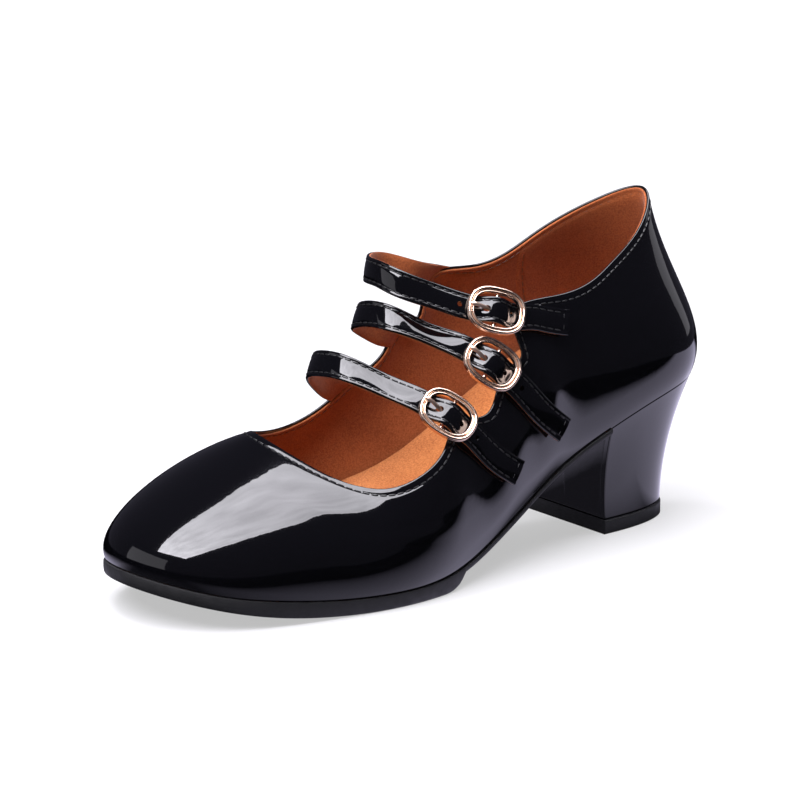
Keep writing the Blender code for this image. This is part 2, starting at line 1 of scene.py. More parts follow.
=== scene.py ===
"""Looks of the left ballroom dance shoe, laid over the fixed frame.

Sizes are in millimetres in the shoe's own axes: +X to the toe, +Y to the outer side, +Z up.
"""
import math
from collections import namedtuple

import bmesh
import bpy
import numpy as np
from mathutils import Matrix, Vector


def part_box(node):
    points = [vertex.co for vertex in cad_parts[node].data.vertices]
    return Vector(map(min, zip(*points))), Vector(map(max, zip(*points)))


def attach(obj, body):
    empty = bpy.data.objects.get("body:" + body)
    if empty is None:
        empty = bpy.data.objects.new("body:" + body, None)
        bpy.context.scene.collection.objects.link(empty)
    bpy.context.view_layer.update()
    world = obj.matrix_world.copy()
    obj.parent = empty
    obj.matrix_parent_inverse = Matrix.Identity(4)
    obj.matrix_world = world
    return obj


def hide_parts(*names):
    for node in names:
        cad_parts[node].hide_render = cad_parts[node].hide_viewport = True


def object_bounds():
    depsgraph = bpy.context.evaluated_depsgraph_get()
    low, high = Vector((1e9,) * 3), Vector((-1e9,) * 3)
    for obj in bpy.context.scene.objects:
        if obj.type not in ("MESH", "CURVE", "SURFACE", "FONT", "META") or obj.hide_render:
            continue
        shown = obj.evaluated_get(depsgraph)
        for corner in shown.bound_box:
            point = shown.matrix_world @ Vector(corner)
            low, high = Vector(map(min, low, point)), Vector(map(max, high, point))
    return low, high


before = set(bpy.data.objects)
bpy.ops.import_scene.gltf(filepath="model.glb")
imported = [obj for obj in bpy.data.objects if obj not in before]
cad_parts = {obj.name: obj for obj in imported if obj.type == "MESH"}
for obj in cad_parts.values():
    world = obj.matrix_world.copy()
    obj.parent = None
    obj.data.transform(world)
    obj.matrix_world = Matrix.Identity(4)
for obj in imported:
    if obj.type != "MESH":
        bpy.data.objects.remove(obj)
cad_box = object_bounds()

MM = 0.001
UP = np.array([0.0, 0.0, 1.0])
FORWARD = np.array([1.0, 0.0, 0.0])

# Driving sizes of the last
LENGTH = 238.0
BALL_WIDTH = 80.0
HEEL_HEIGHT = 53.0
BACK_HEIGHT = 116.0

# Thicknesses and clearances
UPPER_WALL = 1.8
PATENT_WALL = 1.0
LINING_GAP = 0.03
LINING_DROP = 0.35
SHANK_THICKNESS = 2.2
TOE_SPRING = 12.0
FIT_GAP = 0.3
EDGE_INSET = 0.2

# Foot bed, thicker on the inner side under the arch
BED_THICKNESS = 5.5
ARCH_RISE = 8.0
ARCH_START = 8.0
ARCH_FULL = 50.0
ARCH_FADE = 125.0
ARCH_END = 185.0
BED_SEARCH = 0.5
BED_STEPS = 41

# Heel and its lift
LIFT_HEIGHT = 5.2
BREAST_BOTTOM = 52.0
BREAST_TOP = 55.5
HEEL_FOOT_HALF = 20.5
HEEL_FOOT_BACK = 14.5
HEEL_ROUNDNESS = 2.6
HEEL_FLARE = 1.85
HEEL_EDGE = 0.5
COVER_OVERLAP = 0.45
COVER_GAP = 0.9
COVER_TAPER = 0.3

# Straps, buckles and elastics
STRAP_THICKNESS = 1.5
TAIL_GAP = 1.0
ROOT_DEPTH = 0.95
ROOT_THINNING = 0.5
ROOT_REACH = 7.0
FRAME_GAP = 0.5
ELASTIC_GAP = 1.2
TAIL_KICK = 0.9
FRAME_HALF_LENGTH = 9.1
FRAME_HALF_WIDTH = 6.9
FRAME_ROUNDNESS = 2.6
FRAME_WIRE = 1.15
FRAME_RISE = FRAME_WIRE + FRAME_GAP + STRAP_THICKNESS / 2
BAR_WIRE = 0.8
BAR_DROP = 1.0
PRONG_WIRE = 0.7
PRONG_HOLE = -3.2
PRONG_HOLE_RADIUS = 1.15
HOLE_RADIUS = 0.85
HOLE_REACH = 4.0
BACK_HOLE_EXTRA = 0.5
WEAVE_REACH = 7.5
ELASTIC_WIDTH = 7.6
ELASTIC_THICKNESS = 1.0
ELASTIC_CORDS = 7
CORD_VALLEY = 0.36
CORD_SWELL = 0.14

# Seams
STITCH_DEPTH = 2.3
STITCH_PITCH = 2.9
STITCH_LENGTH = 2.3
THREAD_RADIUS = 0.34
THREAD_STAND = 0.08
LINING_THREAD_STAND = 0.05
GROOVE_DEPTH = 0.22
GROOVE_HALF = 0.6
POCKET_SEAMS = (2.25, 23.75)
POCKET_RUN = (0.25, 0.93)
POCKET_EDGE = 0.01
POCKET_STEP = 0.35
POCKET_STITCH = 0.09
STRAP_SEAM = 3.1
STRAP_SEAM_HEIGHT = 0.52
TAIL_SEAM = 1.6

# Where the sole changes, as shares of the length
SHANK_END = 0.545
TREAD_START = 0.585
SPRING_START = 0.70

# Mesh fineness
STEPS_PER_RIB = 14
LOW_ROWS = 24
INNER_ROWS = 8
LINING_ROWS = 16
RISE_STEPS = 61
STRAP_STEP = 0.9
HEEL_LEVELS = 30
HEEL_POINTS = 44
BREAST_POINTS = 9
SOLE_STATIONS = 130
RING_POINTS = 96
ELASTIC_STATIONS = 30
LOOKUP_POINTS = 400
PRONG_POINTS = 28
POCKET_POINTS = 40
POINTS_PER_CORD = 6
WIRE_SIDES = 14
DRILL_SIDES = 20
THREAD_SIDES = 6
BEVEL_STEPS = 3
EDGE_ANGLE = 50.0
MERGE_DISTANCE = 1e-7

# Small step in ribs or rises for finding directions, and a direction that no wire follows
NUDGE = 0.01
ASKEW = np.array([0.31, 0.83, 0.46])


def named_rows(fields, rows):
    """Rows with named fields."""
    kind = namedtuple("Row", fields)
    return [kind(*row) for row in rows]


def mirrored(half, *middle):
    """A section from its left half and the points between the halves."""
    return np.array([*half, *middle, *((-across, out) for across, out in half[::-1])])


# Height of the foot bed along the shoe: share of LENGTH, share of HEEL_HEIGHT
SEATS = named_rows("along height", [
    (0.000, 1.000), (0.110, 0.945), (0.220, 0.800), (0.330, 0.575), (0.430, 0.330), (0.545, 0.145),
    (0.585, 0.117), (0.680, 0.104), (0.760, 0.120), (0.850, 0.170), (0.930, 0.235), (1.000, 0.325),
])

# The upper as ribs from the sole to the topline, once around from the back seam by the outer side.
# foot and top are shares of LENGTH, half BALL_WIDTH and BACK_HEIGHT; wall and lip handles are millimetres.
RIBS = named_rows("name foot_along foot_across wall_out wall_up top_along top_across top_height"
                  " lip_out lip_down lip_back", [
    ("back", 0.012, 0.00, 8, 20, 0.072, 0.00, 1.000, 5, 26, 0),
    ("back_outer", 0.056, 0.53, 8, 18, 0.118, 0.28, 0.915, 7, 22, 0),
    ("heel_outer", 0.160, 0.70, 7, 16, 0.215, 0.50, 0.830, 6, 18, 0),
    ("quarter_outer", 0.240, 0.69, 6, 15, 0.320, 0.575, 0.780, 6, 14, 6),
    ("finger_top", 0.290, 0.67, 7, 15, 0.402, 0.54, 0.757, 8, 6, 16),
    ("notch_top", 0.340, 0.67, 7, 14, 0.408, 0.70, 0.645, 7, 9, 10),
    ("finger_middle", 0.395, 0.71, 7, 13, 0.436, 0.66, 0.590, 8, 8, 9),
    ("notch_front", 0.450, 0.77, 7, 12, 0.474, 0.755, 0.495, 7, 9, 7),
    ("finger_front", 0.510, 0.86, 6, 11, 0.524, 0.705, 0.478, 7, 8, 6),
    ("throat_outer", 0.575, 0.955, 5, 10, 0.572, 0.85, 0.415, 7, 9, 3),
    ("ball_outer", 0.650, 0.995, 5, 10, 0.632, 0.87, 0.352, 7, 8, 0),
    ("toe_outer", 0.770, 0.89, 5, 11, 0.690, 0.66, 0.340, 12, 8, 0),
    ("corner_outer", 0.938, 0.50, 5, 12, 0.740, 0.24, 0.400, 26, 9, 0),
    ("tip", 0.995, -0.23, 5, 13, 0.762, -0.22, 0.455, 32, 9, 0),
    ("corner_inner", 0.948, -0.84, 5, 12, 0.735, -0.52, 0.435, 26, 8, 0),
    ("toe_inner", 0.830, -1.03, 5, 11, 0.680, -0.74, 0.400, 16, 8, 0),
    ("ball_inner", 0.710, -1.02, 5, 11, 0.620, -0.84, 0.395, 9, 10, 0),
    ("throat_inner", 0.600, -0.92, 5, 12, 0.556, -0.85, 0.440, 8, 10, 3),
    ("root_front", 0.530, -0.81, 6, 13, 0.512, -0.81, 0.500, 8, 9, 6),
    ("hollow_front", 0.465, -0.71, 6, 14, 0.466, -0.80, 0.550, 7, 10, 8),
    ("root_middle", 0.400, -0.64, 7, 15, 0.436, -0.76, 0.630, 8, 9, 9),
    ("hollow_top", 0.345, -0.61, 7, 15, 0.400, -0.75, 0.663, 8, 10, 10),
    ("root_top", 0.290, -0.62, 7, 15, 0.385, -0.70, 0.785, 8, 6, 16),
    ("quarter_inner", 0.240, -0.65, 6, 15, 0.310, -0.66, 0.790, 7, 14, 6),
    ("heel_inner", 0.160, -0.68, 7, 16, 0.210, -0.58, 0.857, 6, 18, 0),
    ("back_inner", 0.056, -0.53, 8, 18, 0.118, -0.36, 0.955, 7, 22, 0),
])
RIB_COUNT = len(RIBS)
TIP_RIB = RIB_COUNT // 2

# Straps from the inner side to the free end: root, tail and finger are (rib, rise) places on the upper.
# over is the run across the instep and buckle the buckle's place, with how far the strap's face looks up,
# in degrees. holes are distances from the buckle's middle.
Turn = namedtuple("Turn", "x y z tilt")
Strap = namedtuple("Strap", "name root over buckle tail finger holes")
STRAPS = [
    Strap("top",
          root=[(22.4, 0.87), (22.1, 0.92)],
          over=[Turn(103.0, -23.6, 93.7, 8), Turn(114.0, -25.6, 97.6, 3), Turn(129.6, -15.0, 100.5, 8),
                Turn(132.0, -6.0, 101.0, 10), Turn(130.3, 3.0, 99.0, 20), Turn(121.0, 11.0, 94.7, 34)],
          buckle=Turn(103.9, 21.2, 88.6, 29),
          tail=[(4.03, 0.90), (3.74, 0.815), (3.34, 0.785)],
          finger=(3.95, 0.86),
          holes=(-13.0, 5.2)),
    Strap("middle",
          root=[(20.3, 0.80), (20.0, 0.90)],
          over=[Turn(112.0, -27.3, 72.6, 12), Turn(121.0, -26.0, 77.2, 12), Turn(133.2, -16.0, 84.9, 14),
                Turn(134.5, -8.0, 87.2, 16), Turn(133.3, 1.0, 87.3, 36), Turn(122.0, 12.0, 81.2, 56)],
          buckle=Turn(109.1, 25.4, 71.9, 36),
          tail=[(5.84, 0.66), (5.50, 0.53), (5.12, 0.39)],
          finger=(6.0, 0.86),
          holes=(5.2, 13.5)),
    Strap("front",
          root=[(17.9, 0.84), (17.5, 0.98)],
          over=[Turn(140.0, -27.5, 60.4, 8), Turn(151.9, -17.0, 70.6, 18), Turn(153.2, -9.0, 72.7, 22),
                Turn(152.3, -1.0, 73.0, 36), Turn(143.0, 12.0, 67.4, 55)],
          buckle=Turn(130.4, 28.0, 58.0, 47),
          tail=[(7.88, 0.75), (7.50, 0.62), (7.08, 0.495)],
          finger=(8.15, 0.86),
          holes=(5.2, 12.5)),
]

# Depths under the topline at which the patent, its inside and the lining have rows of points
TOP_DEPTHS = np.array([6.5, 5.2, 4.2, 3.6, 3.2, 2.9, 2.6, 2.3, 2.0, 1.7, 1.4, 1.0, 0.6, 0.3, 0.0])
INNER_DEPTHS = np.array([6.0, 3.0, 1.0, 0.0])
LINING_DEPTHS = np.array([6.0, 3.5, STITCH_DEPTH + GROOVE_HALF, STITCH_DEPTH, STITCH_DEPTH - GROOVE_HALF,
                          1.0, LINING_DROP])

# Angles of the points over the rolled edges
TOPLINE_TURNS = (30, 60, 90, 120, 150)
LINING_TURNS = (45, 90, 135)

# Rounded corner of the foot bed: drop below its top, inset from its side
BED_CORNER = ((0.9, 0.0), (0.3, 0.2), (0.0, 0.9))

# A stitch from end to end: share of its half length, share of the thread's radius
STITCH_SHAPE = ((-1.0, 0.35), (-0.75, 0.8), (0.0, 1.0), (0.75, 0.8), (1.0, 0.35))

# Sections of a strap's patent face and suede backing: across and out of its middle
STRAP_FACE = mirrored([
    (-4.48, -0.25), (-4.52, 0.10), (-4.42, 0.45), (-4.15, 0.64), (-3.80, 0.66),
    (-3.45, 0.58), (-3.10, 0.46), (-2.75, 0.58), (-2.40, 0.69), (-1.60, 0.78),
], (0.00, 0.82))
STRAP_BACK = mirrored([(-4.45, -0.26), (-4.45, -0.60), (-4.20, -0.75), (-2.20, -0.75)])

# Section of a buckle frame: outward from and above its middle line, an outer and an inner bead
FRAME_SECTION = np.array([
    (0.80, -1.15), (1.06, -1.02), (1.15, -0.80), (1.15, -0.15), (1.04, -0.04), (1.13, 0.08), (1.15, 0.42),
    (1.08, 0.76), (0.86, 1.04), (0.55, 1.15), (0.25, 1.04), (0.05, 0.80), (-0.05, 0.52), (-0.18, 0.42),
    (-0.32, 0.52), (-0.44, 0.74), (-0.64, 0.88), (-0.88, 0.82), (-1.06, 0.60), (-1.13, 0.26), (-1.13, -0.72),
    (-1.00, -1.04), (-0.76, -1.15),
])

# Side of the outsole from its top to its tread: share of the thickness, lip beyond the upper
SOLE_EDGES = named_rows("share lip", [
    (1.00, 0.10), (0.97, 0.48), (0.88, 0.60), (0.50, 0.62),
    (0.25, 0.50), (0.10, 0.20), (0.03, -0.15), (0.00, -0.60),
])

# Side of the heel lift from the floor up: height, lip beyond the heel's foot
LIFT_EDGES = named_rows("height lip", [
    (0.0, -0.15), (0.3, 0.30), (4.5, 0.30),
    (4.8, 0.15), (5.0, -0.30), (LIFT_HEIGHT, -0.30),
])

# Prong from the centre bar to its tip: along and out of the buckle, thickness as a share of PRONG_WIRE
PRONG = named_rows("name along out thickness", [
    ("root", -1.7, -1.3, 0.80),
    ("hole", PRONG_HOLE, -0.2, 0.90),
    ("rise", -5.1, 1.1, 1.00),
    ("rest", -7.4, 2.0, 1.00),
    ("end", -9.5, 2.1, 0.85),
    ("tip", -10.0, 2.1, 0.40),
])

# Soft creases of the patent: place on the upper, half length in ribs, half width in rises, depth.
# A ridge has a depth below zero. The last four even out the outer quarter.
CREASES = named_rows("rib rise half_ribs half_rises depth", [
    (10.6, 0.62, 1.1, 0.05, 0.22),
    (9.9, 0.50, 0.8, 0.05, -0.18),
    (9.2, 0.66, 0.5, 0.05, 0.20),
    (11.6, 0.72, 0.9, 0.06, -0.16),
    (15.6, 0.62, 1.0, 0.05, 0.22),
    (16.4, 0.48, 0.8, 0.05, -0.18),
    (2.3, 0.55, 0.7, 0.08, 0.25),
    (24.0, 0.55, 0.7, 0.08, 0.25),
    (3.5, 0.36, 0.9, 0.16, -0.35),
    (5.1, 0.36, 0.8, 0.16, 0.50),
    (7.0, 0.36, 0.7, 0.16, 0.45),
    (8.25, 0.36, 0.6, 0.16, -0.40),
])
CREASE_SLANT = 0.06

# Camera and light, seen from the aim point
AIM = np.array([127.6, 0.0, 57.5])
CAMERA_TURN = 38.9
CAMERA_RISE = 15.3
CAMERA_DISTANCE = 1393.0
CAMERA_LENS = 184.8
CAMERA_SENSOR = 36.0
CAMERA_REACH = 20000.0
OVERHEAD_ENDS = (0.74, 1.75)
OVERHEAD_BLOTCH = 0.14
BLOTCH_SCALE = 7.0
LIGHT_COLOUR = (0.95, 0.935, 1.0)
WORLD_COLOUR = (0.045, 0.043, 0.058)
FLOOR_COLOUR = (0.24, 0.24, 0.242)
# Painted light: the floor glows of itself, which lightens its shadows, and glows more far away
FLOOR_GLOW = 0.5
FAR_GLOW = 1.0
GLOW_START = 350.0
GLOW_END = 1200.0
FLOOR_REACH = 6000.0
# Painted reflection of the floor: a glowing card that only mirror images show, with painted shade under the
# shoe
CARD_COLOUR = (0.95, 0.90, 1.18)
CARD_MARGIN = 45.0
CARD_BACK = 400.0
CARD_SIDE = 72.0
CARD_SLANT = 0.36
CARD_FADE = 22.0
CARD_HEIGHT = 0.1
SHADED_HALF = 24.0
SHADED_BACK = 15.0
SHADED_GLOW = 0.1

# Soft boxes: place to the picture's right, away from the camera and above the floor, size, brightness.
# The overhead one is placed along the shoe and outward instead.
Lamp = namedtuple("Lamp", "name right away height width length radiance")
OVERHEAD = Lamp("overhead", 0.0, 0.0, 1000.0, 1940.0, 706.0, 9.5)
OVERHEAD_PLACE = np.array([319.0, 100.0, 0.0])
MIRRORED_LAMPS = [
    Lamp("strip", 900.0, 700.0, 300.0, 260.0, 520.0, 0.55),
    Lamp("window", -1000.0, -380.0, 250.0, 900.0, 560.0, 0.9),
]
DULL_LAMPS = [
    Lamp("fill", -317.0, 400.0, 1000.0, 1400.0, 800.0, 3.0),
    Lamp("key", -560.0, 500.0, 1400.0, 240.0, 240.0, 58.0),
    Lamp("front", 100.0, -1100.0, 700.0, 900.0, 600.0, 0.8),
]

LIFT_LOW, LIFT_HIGH = (np.array(corner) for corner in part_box("heel_lift"))
SHIFT = np.array([LIFT_HIGH[0] - BREAST_BOTTOM * MM, (LIFT_LOW[1] + LIFT_HIGH[1]) / 2, 0.0])


# Splines

def second_derivatives(knots, values, closed):
    """Second derivatives of the cubic spline through the values, natural or closed."""
    count = len(values)
    step = np.diff(knots)
    matrix = np.zeros((count, count))
    bend = np.zeros(values.shape)
    for i in range(count):
        before, after = i - 1, (i + 1) % count
        if not closed and i in (0, count - 1):
            matrix[i, i] = 1.0
            continue
        matrix[i, before] += step[before]
        matrix[i, i] += 2.0 * (step[before] + step[i])
        matrix[i, after] += step[i]
        bend[i] = 6.0 * ((values[after] - values[i]) / step[i] - (values[i] - values[before]) / step[before])
    return np.linalg.solve(matrix, bend)


def spline(knots, values, at, closed=False):
    """Cubic spline of a table with one row per knot; a closed one has an extra last knot."""
    curve = second_derivatives(knots, values, closed)
    if closed:
        values = np.vstack([values, values[:1]])
        curve = np.vstack([curve, curve[:1]])
        at = np.mod(at, knots[-1])
    i = np.clip(np.searchsorted(knots, at, side="right") - 1, 0, len(knots) - 2)
    step = (knots[i + 1] - knots[i])[:, None]
    left = (knots[i + 1] - at)[:, None]
    right = (at - knots[i])[:, None]
    cubic = (curve[i] * left ** 3 + curve[i + 1] * right ** 3) / (6.0 * step)
    linear = (values[i] / step - curve[i] * step / 6.0) * left
    return cubic + linear + (values[i + 1] / step - curve[i + 1] * step / 6.0) * right


def unit(vectors):
    """Vectors at length one."""
    return vectors / np.linalg.norm(vectors, axis=-1, keepdims=True)


def square_to(vectors, ahead):
    """Vectors turned square to directions of length one, at length one."""
    return unit(vectors - ahead * np.sum(vectors * ahead, axis=-1, keepdims=True))


def lengths_along(path):
    """Distance along a path at each of its points."""
    return np.concatenate([[0.0], np.cumsum(np.linalg.norm(np.diff(path, axis=0), axis=1))])


# Foot bed and sole heights

SEAT_ALONG = np.array([row.along * LENGTH for row in SEATS])
SEAT_HEIGHT = np.array([[row.height * HEEL_HEIGHT] for row in SEATS])


def seat_height(x):
    """Height of the foot bed, where the upper meets the sole."""
    x = np.clip(np.asarray(x, float), 0.0, LENGTH)
    return spline(SEAT_ALONG, SEAT_HEIGHT, x.ravel())[:, 0].reshape(x.shape)


def tread_height(x):
    """Height of the sole's underside: thin shank, flat tread, then the toe spring."""
    along = np.asarray(x, float) / LENGTH
    shank = seat_height(x) - FIT_GAP - SHANK_THICKNESS
    step = np.clip((along - SHANK_END) / (TREAD_START - SHANK_END), 0.0, 1.0)
    drop = np.sqrt(1.0 - (1.0 - step) ** 2)
    spring = np.clip((along - SPRING_START) / (1.0 - SPRING_START), 0.0, None)
    return shank * (1.0 - drop) + TOE_SPRING * spring ** 2


# Surface of the upper

RIB_SCALE = np.array([LENGTH, BALL_WIDTH / 2, 1, 1, LENGTH, BALL_WIDTH / 2, BACK_HEIGHT, 1, 1, 1])
RIB_TABLE = np.array([row[1:] for row in RIBS]) * RIB_SCALE
RIB_STEPS = np.linalg.norm(np.roll(RIB_TABLE[:, :2], -1, axis=0) - RIB_TABLE[:, :2], axis=1)
RIB_KNOTS = np.concatenate([[0.0], np.cumsum(RIB_STEPS)])


def rib_columns(ribs):
    """The rib table read at rib numbers that may fall between two rows."""
    ribs = np.mod(np.asarray(ribs, float), RIB_COUNT)
    return spline(RIB_KNOTS, RIB_TABLE, np.interp(ribs, np.arange(RIB_COUNT + 1), RIB_KNOTS), closed=True)


def outline_normal(ribs):
    """Outward direction of the sole line, seen from above."""
    before, after = (rib_columns(np.asarray(ribs) + step)[:, :2] for step in (-2 * NUDGE, 2 * NUDGE))
    ahead = unit(after - before)
    return np.column_stack([-ahead[:, 1], ahead[:, 0], np.zeros(len(ahead))])


def outline(ribs, offset=0.0):
    """Points of the sole line, moved outward by offset, at the foot bed's height."""
    table = rib_columns(ribs)
    points = np.column_stack([table[:, :2], seat_height(table[:, 0])])
    return points + outline_normal(ribs) * offset


def upper_points(ribs, rises):
    """Outer surface of the upper: a row of points per rib number, at that row's own rises."""
    table = rib_columns(ribs)
    out = outline_normal(ribs)
    foot = outline(ribs)
    top = table[:, 4:7]
    wall = foot + table[:, 2:3] * out + table[:, 3:4] * UP
    lip = top + table[:, 7:8] * out - table[:, 8:9] * UP - table[:, 9:10] * FORWARD
    t = np.asarray(rises, float)[:, :, None]
    foot, wall, lip, top = (corner[:, None, :] for corner in (foot, wall, lip, top))
    return (1 - t) ** 3 * foot + 3 * t * (1 - t) ** 2 * wall + 3 * t ** 2 * (1 - t) * lip + t ** 3 * top


def upper_upward(ribs, rises):
    """Directions up the ribs on the upper's outer surface."""
    return unit(upper_points(ribs, rises + NUDGE) - upper_points(ribs, rises - NUDGE))


def upper_normals(ribs, rises):
    """Outward directions of the upper's outer surface."""
    around = upper_points(ribs + NUDGE, rises) - upper_points(ribs - NUDGE, rises)
    return unit(np.cross(upper_upward(ribs, rises), around))


def inside_upper(ribs, rises, depth):
    """Points at a depth inside the upper's outer surface."""
    return upper_points(ribs, rises) - upper_normals(ribs, rises) * depth


def rises_below(ribs, depths):
    """Rises at the given distances below the topline, a row per rib."""
    rises = np.linspace(0.0, 1.0, RISE_STEPS)
    grid = upper_points(ribs, np.tile(rises, (len(ribs), 1)))
    lines = [lengths_along(line) for line in grid]
    return np.array([np.interp(along[-1] - depths, along, rises) for along in lines])


def rib_at(x, side):
    """Rib number on the outer (+1) or inner (-1) side where the sole line passes x."""
    ribs = np.linspace(0.0, TIP_RIB, LOOKUP_POINTS)
    if side < 0:
        ribs = RIB_COUNT - ribs
    return np.interp(x, rib_columns(ribs)[:, 0], ribs)


# Solids as points and faces

def skin(sections, round_path=False):
    """A solid through closed sections, joined into a ring or capped at both ends."""
    sections = np.asarray(sections, float)
    count, size = sections.shape[:2]
    here = np.arange(count * size).reshape(count, size)
    ahead = np.roll(here, -1, axis=0)
    low, high = (here, ahead) if round_path else (here[:-1], ahead[:-1])
    quads = np.stack([low, np.roll(low, -1, axis=1), np.roll(high, -1, axis=1), high], axis=-1)
    faces = quads.reshape(-1, 4).tolist()
    if not round_path:
        faces.append(here[0][::-1].tolist())
        faces.append(here[-1].tolist())
    return sections.reshape(-1, 3), faces


def joined(solids):
    """Several solids as one."""
    points, faces, base = [], [], 0
    for spots, sides in solids:
        points.append(spots)
        faces.extend([[base + k for k in side] for side in sides])
        base += len(spots)
    return np.vstack(points), faces


def tube(path, radii, sides):
    """A round wire along a path, with a radius at each point."""
    ahead = unit(np.gradient(path, axis=0))
    first = unit(np.cross(ahead, ASKEW))
    second = np.cross(ahead, first)
    turns = np.arange(sides) * 2.0 * math.pi / sides
    ring = np.cos(turns)[None, :, None] * first[:, None] + np.sin(turns)[None, :, None] * second[:, None]
    return skin(path[:, None] + ring * np.asarray(radii)[:, None, None])


def band(centres, normals, section, thickness=1.0):
    """A band along a path: the section's columns go across and out of the path."""
    ahead = unit(np.gradient(centres, axis=0))
    face = square_to(normals, ahead)
    side = np.cross(ahead, face)
    out = face * np.reshape(thickness, (-1, 1))
    return centres[:, None] + side[:, None] * section[None, :, :1] + out[:, None] * section[None, :, 1:]


def stitch_places(path, outs):
    """Evenly spaced stitches on a path: places, directions along and directions out."""
    along = lengths_along(path)
    count = max(1, int(round(along[-1] / STITCH_PITCH)))
    at = (np.arange(count) + 0.5) * along[-1] / count
    slopes = np.gradient(path, axis=0)
    spots, ahead, out = (np.column_stack([np.interp(at, along, table[:, k]) for k in range(3)])
                         for table in (path, slopes, outs))
    ahead = unit(ahead)
    return spots, ahead, square_to(out, ahead)


def stitches(rows):
    """Threads of all rows of stitches as one solid."""
    turns = np.arange(THREAD_SIDES) * 2.0 * math.pi / THREAD_SIDES
    solids = []
    for spots, ahead, out in rows:
        side = np.cross(out, ahead)
        for spot, a, s, o in zip(spots, ahead, side, out):
            ring = np.cos(turns)[:, None] * s + np.sin(turns)[:, None] * o
            rings = [spot + a * reach * STITCH_LENGTH / 2 + ring * thick * THREAD_RADIUS
                     for reach, thick in STITCH_SHAPE]
            solids.append(skin(rings))
    return joined(solids)


# Pieces

def placed(name, data):
    """A new object in the scene."""
    made = bpy.data.objects.new(name, data)
    bpy.context.scene.collection.objects.link(made)
    return made


def piece(name, solid, look, replaces=()):
    """A piece of the shoe from a solid in millimetres."""
    points, faces = solid
    shape = bmesh.new()
    corners = [shape.verts.new(spot) for spot in points * MM + SHIFT]
    for face in faces:
        shape.faces.new([corners[k] for k in face])
    bmesh.ops.remove_doubles(shape, verts=shape.verts, dist=MERGE_DISTANCE)
    bmesh.ops.dissolve_degenerate(shape, edges=shape.edges, dist=MERGE_DISTANCE)
    bmesh.ops.recalc_face_normals(shape, faces=shape.faces)
    mesh = bpy.data.meshes.new(name)
    shape.to_mesh(mesh)
    shape.free()
    mesh.materials.append(look)
    mesh.shade_smooth()
    mesh.set_sharp_from_angle(angle=math.radians(EDGE_ANGLE))
    made = placed(name, mesh)
    if look not in MIRRORS:
        DULL.objects.link(made)
    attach(made, "root")
    if replaces:
        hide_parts(*replaces)
    return made


def punch(made, drills):
    """Cut round holes, given as the two ends of each drill and its radius, through a piece."""
    points, faces = joined([tube(np.array(ends), (radius, radius), DRILL_SIDES) for ends, radius in drills])
    mesh = bpy.data.meshes.new("drill")
    mesh.from_pydata((points * MM + SHIFT).tolist(), [], faces)
    drill = placed("drill", mesh)
    cut = made.modifiers.new("holes", "BOOLEAN")
    cut.operation = "DIFFERENCE"
    cut.solver = "EXACT"
    cut.object = drill
    after = bpy.data.meshes.new_from_object(made.evaluated_get(bpy.context.evaluated_depsgraph_get()))
    made.modifiers.remove(cut)
    made.data = after
    bpy.data.objects.remove(drill, do_unlink=True)


# Materials

NOISE_RANGE = (0.3, 0.7)
NAP_RANGE = (0.36, 0.64)
NAP_SHARE = 0.72
NAP_STOPS = (0.15, 0.85)
PATENT_COLOUR = (0.0016, 0.0016, 0.0021)
COAT_TINT = (0.94, 0.94, 1.0)
RUBBER_COLOUR = (0.006, 0.006, 0.007)
ELASTIC_COLOUR = (0.012, 0.012, 0.013)
GOLD_COLOUR = (0.91, 0.68, 0.54)
GOLD_SHADES = ((0.88, 0.64, 0.50), (0.93, 0.71, 0.57))

# Ripples of the patent: noise scale and depth; each piece gives the slow one's depth
SLOW_RIPPLE = 65.0
FINE_RIPPLES = ((300.0, 0.012), (900.0, 0.003))


def feed(node, inputs):
    """Set a node's inputs to constants, or link them to other nodes' outputs."""
    for name, value in inputs.items():
        if isinstance(value, bpy.types.NodeSocket):
            node.id_data.links.new(value, node.inputs[name])
        else:
            node.inputs[name].default_value = value
    return node


def new_node(tree, kind, inputs):
    """A new node of a kind, with its inputs."""
    return feed(tree.nodes.new(kind), inputs)


def new_look(name, colour, roughness, metallic=0.0):
    """A material with its node tree and shader."""
    look = bpy.data.materials.new(name)
    look.use_nodes = True
    inputs = {"Base Color": (*colour, 1.0), "Roughness": roughness, "Metallic": metallic}
    return look, look.node_tree, feed(look.node_tree.nodes["Principled BSDF"], inputs)


def object_place(tree):
    """Place on an object, in the shoe's own metres."""
    return tree.nodes.new("ShaderNodeTexCoord").outputs["Object"]


def noise(tree, scale, detail=2.0, rough=0.5, place=None):
    """Noise over a place, which is the place on the object when none is given."""
    if place is None:
        place = object_place(tree)
    inputs = {"Vector": place, "Scale": scale, "Detail": detail, "Roughness": rough}
    return new_node(tree, "ShaderNodeTexNoise", inputs).outputs["Fac"]


def spread(tree, value, low, high, first, last):
    """A value mapped from one range to another."""
    inputs = {"Value": value, "From Min": low, "From Max": high, "To Min": first, "To Max": last}
    return new_node(tree, "ShaderNodeMapRange", inputs).outputs["Result"]


def vary(tree, value, first, last):
    """A noise mapped from its usual range to another."""
    return spread(tree, value, *NOISE_RANGE, first, last)


def combine(tree, operation, *values):
    """One value made from several by a math operation."""
    made = new_node(tree, "ShaderNodeMath", dict(enumerate(values)))
    made.operation = operation
    return made.outputs["Value"]


def ramp(tree, value, places, colours):
    """A value turned into colours."""
    made = new_node(tree, "ShaderNodeValToRGB", {"Fac": value})
    for mark, place, colour in zip(made.color_ramp.elements, places, colours):
        mark.position = place
        mark.color = (*colour, 1.0)
    return made.outputs["Color"]


def bump(tree, layers):
    """A normal from layers of height, each with its depth in millimetres."""
    below = {}
    for height, depth in layers:
        inputs = {"Strength": 1.0, "Distance": depth * MM, "Height": height, **below}
        normal = new_node(tree, "ShaderNodeBump", inputs).outputs["Normal"]
        below = {"Normal": normal}
    return normal


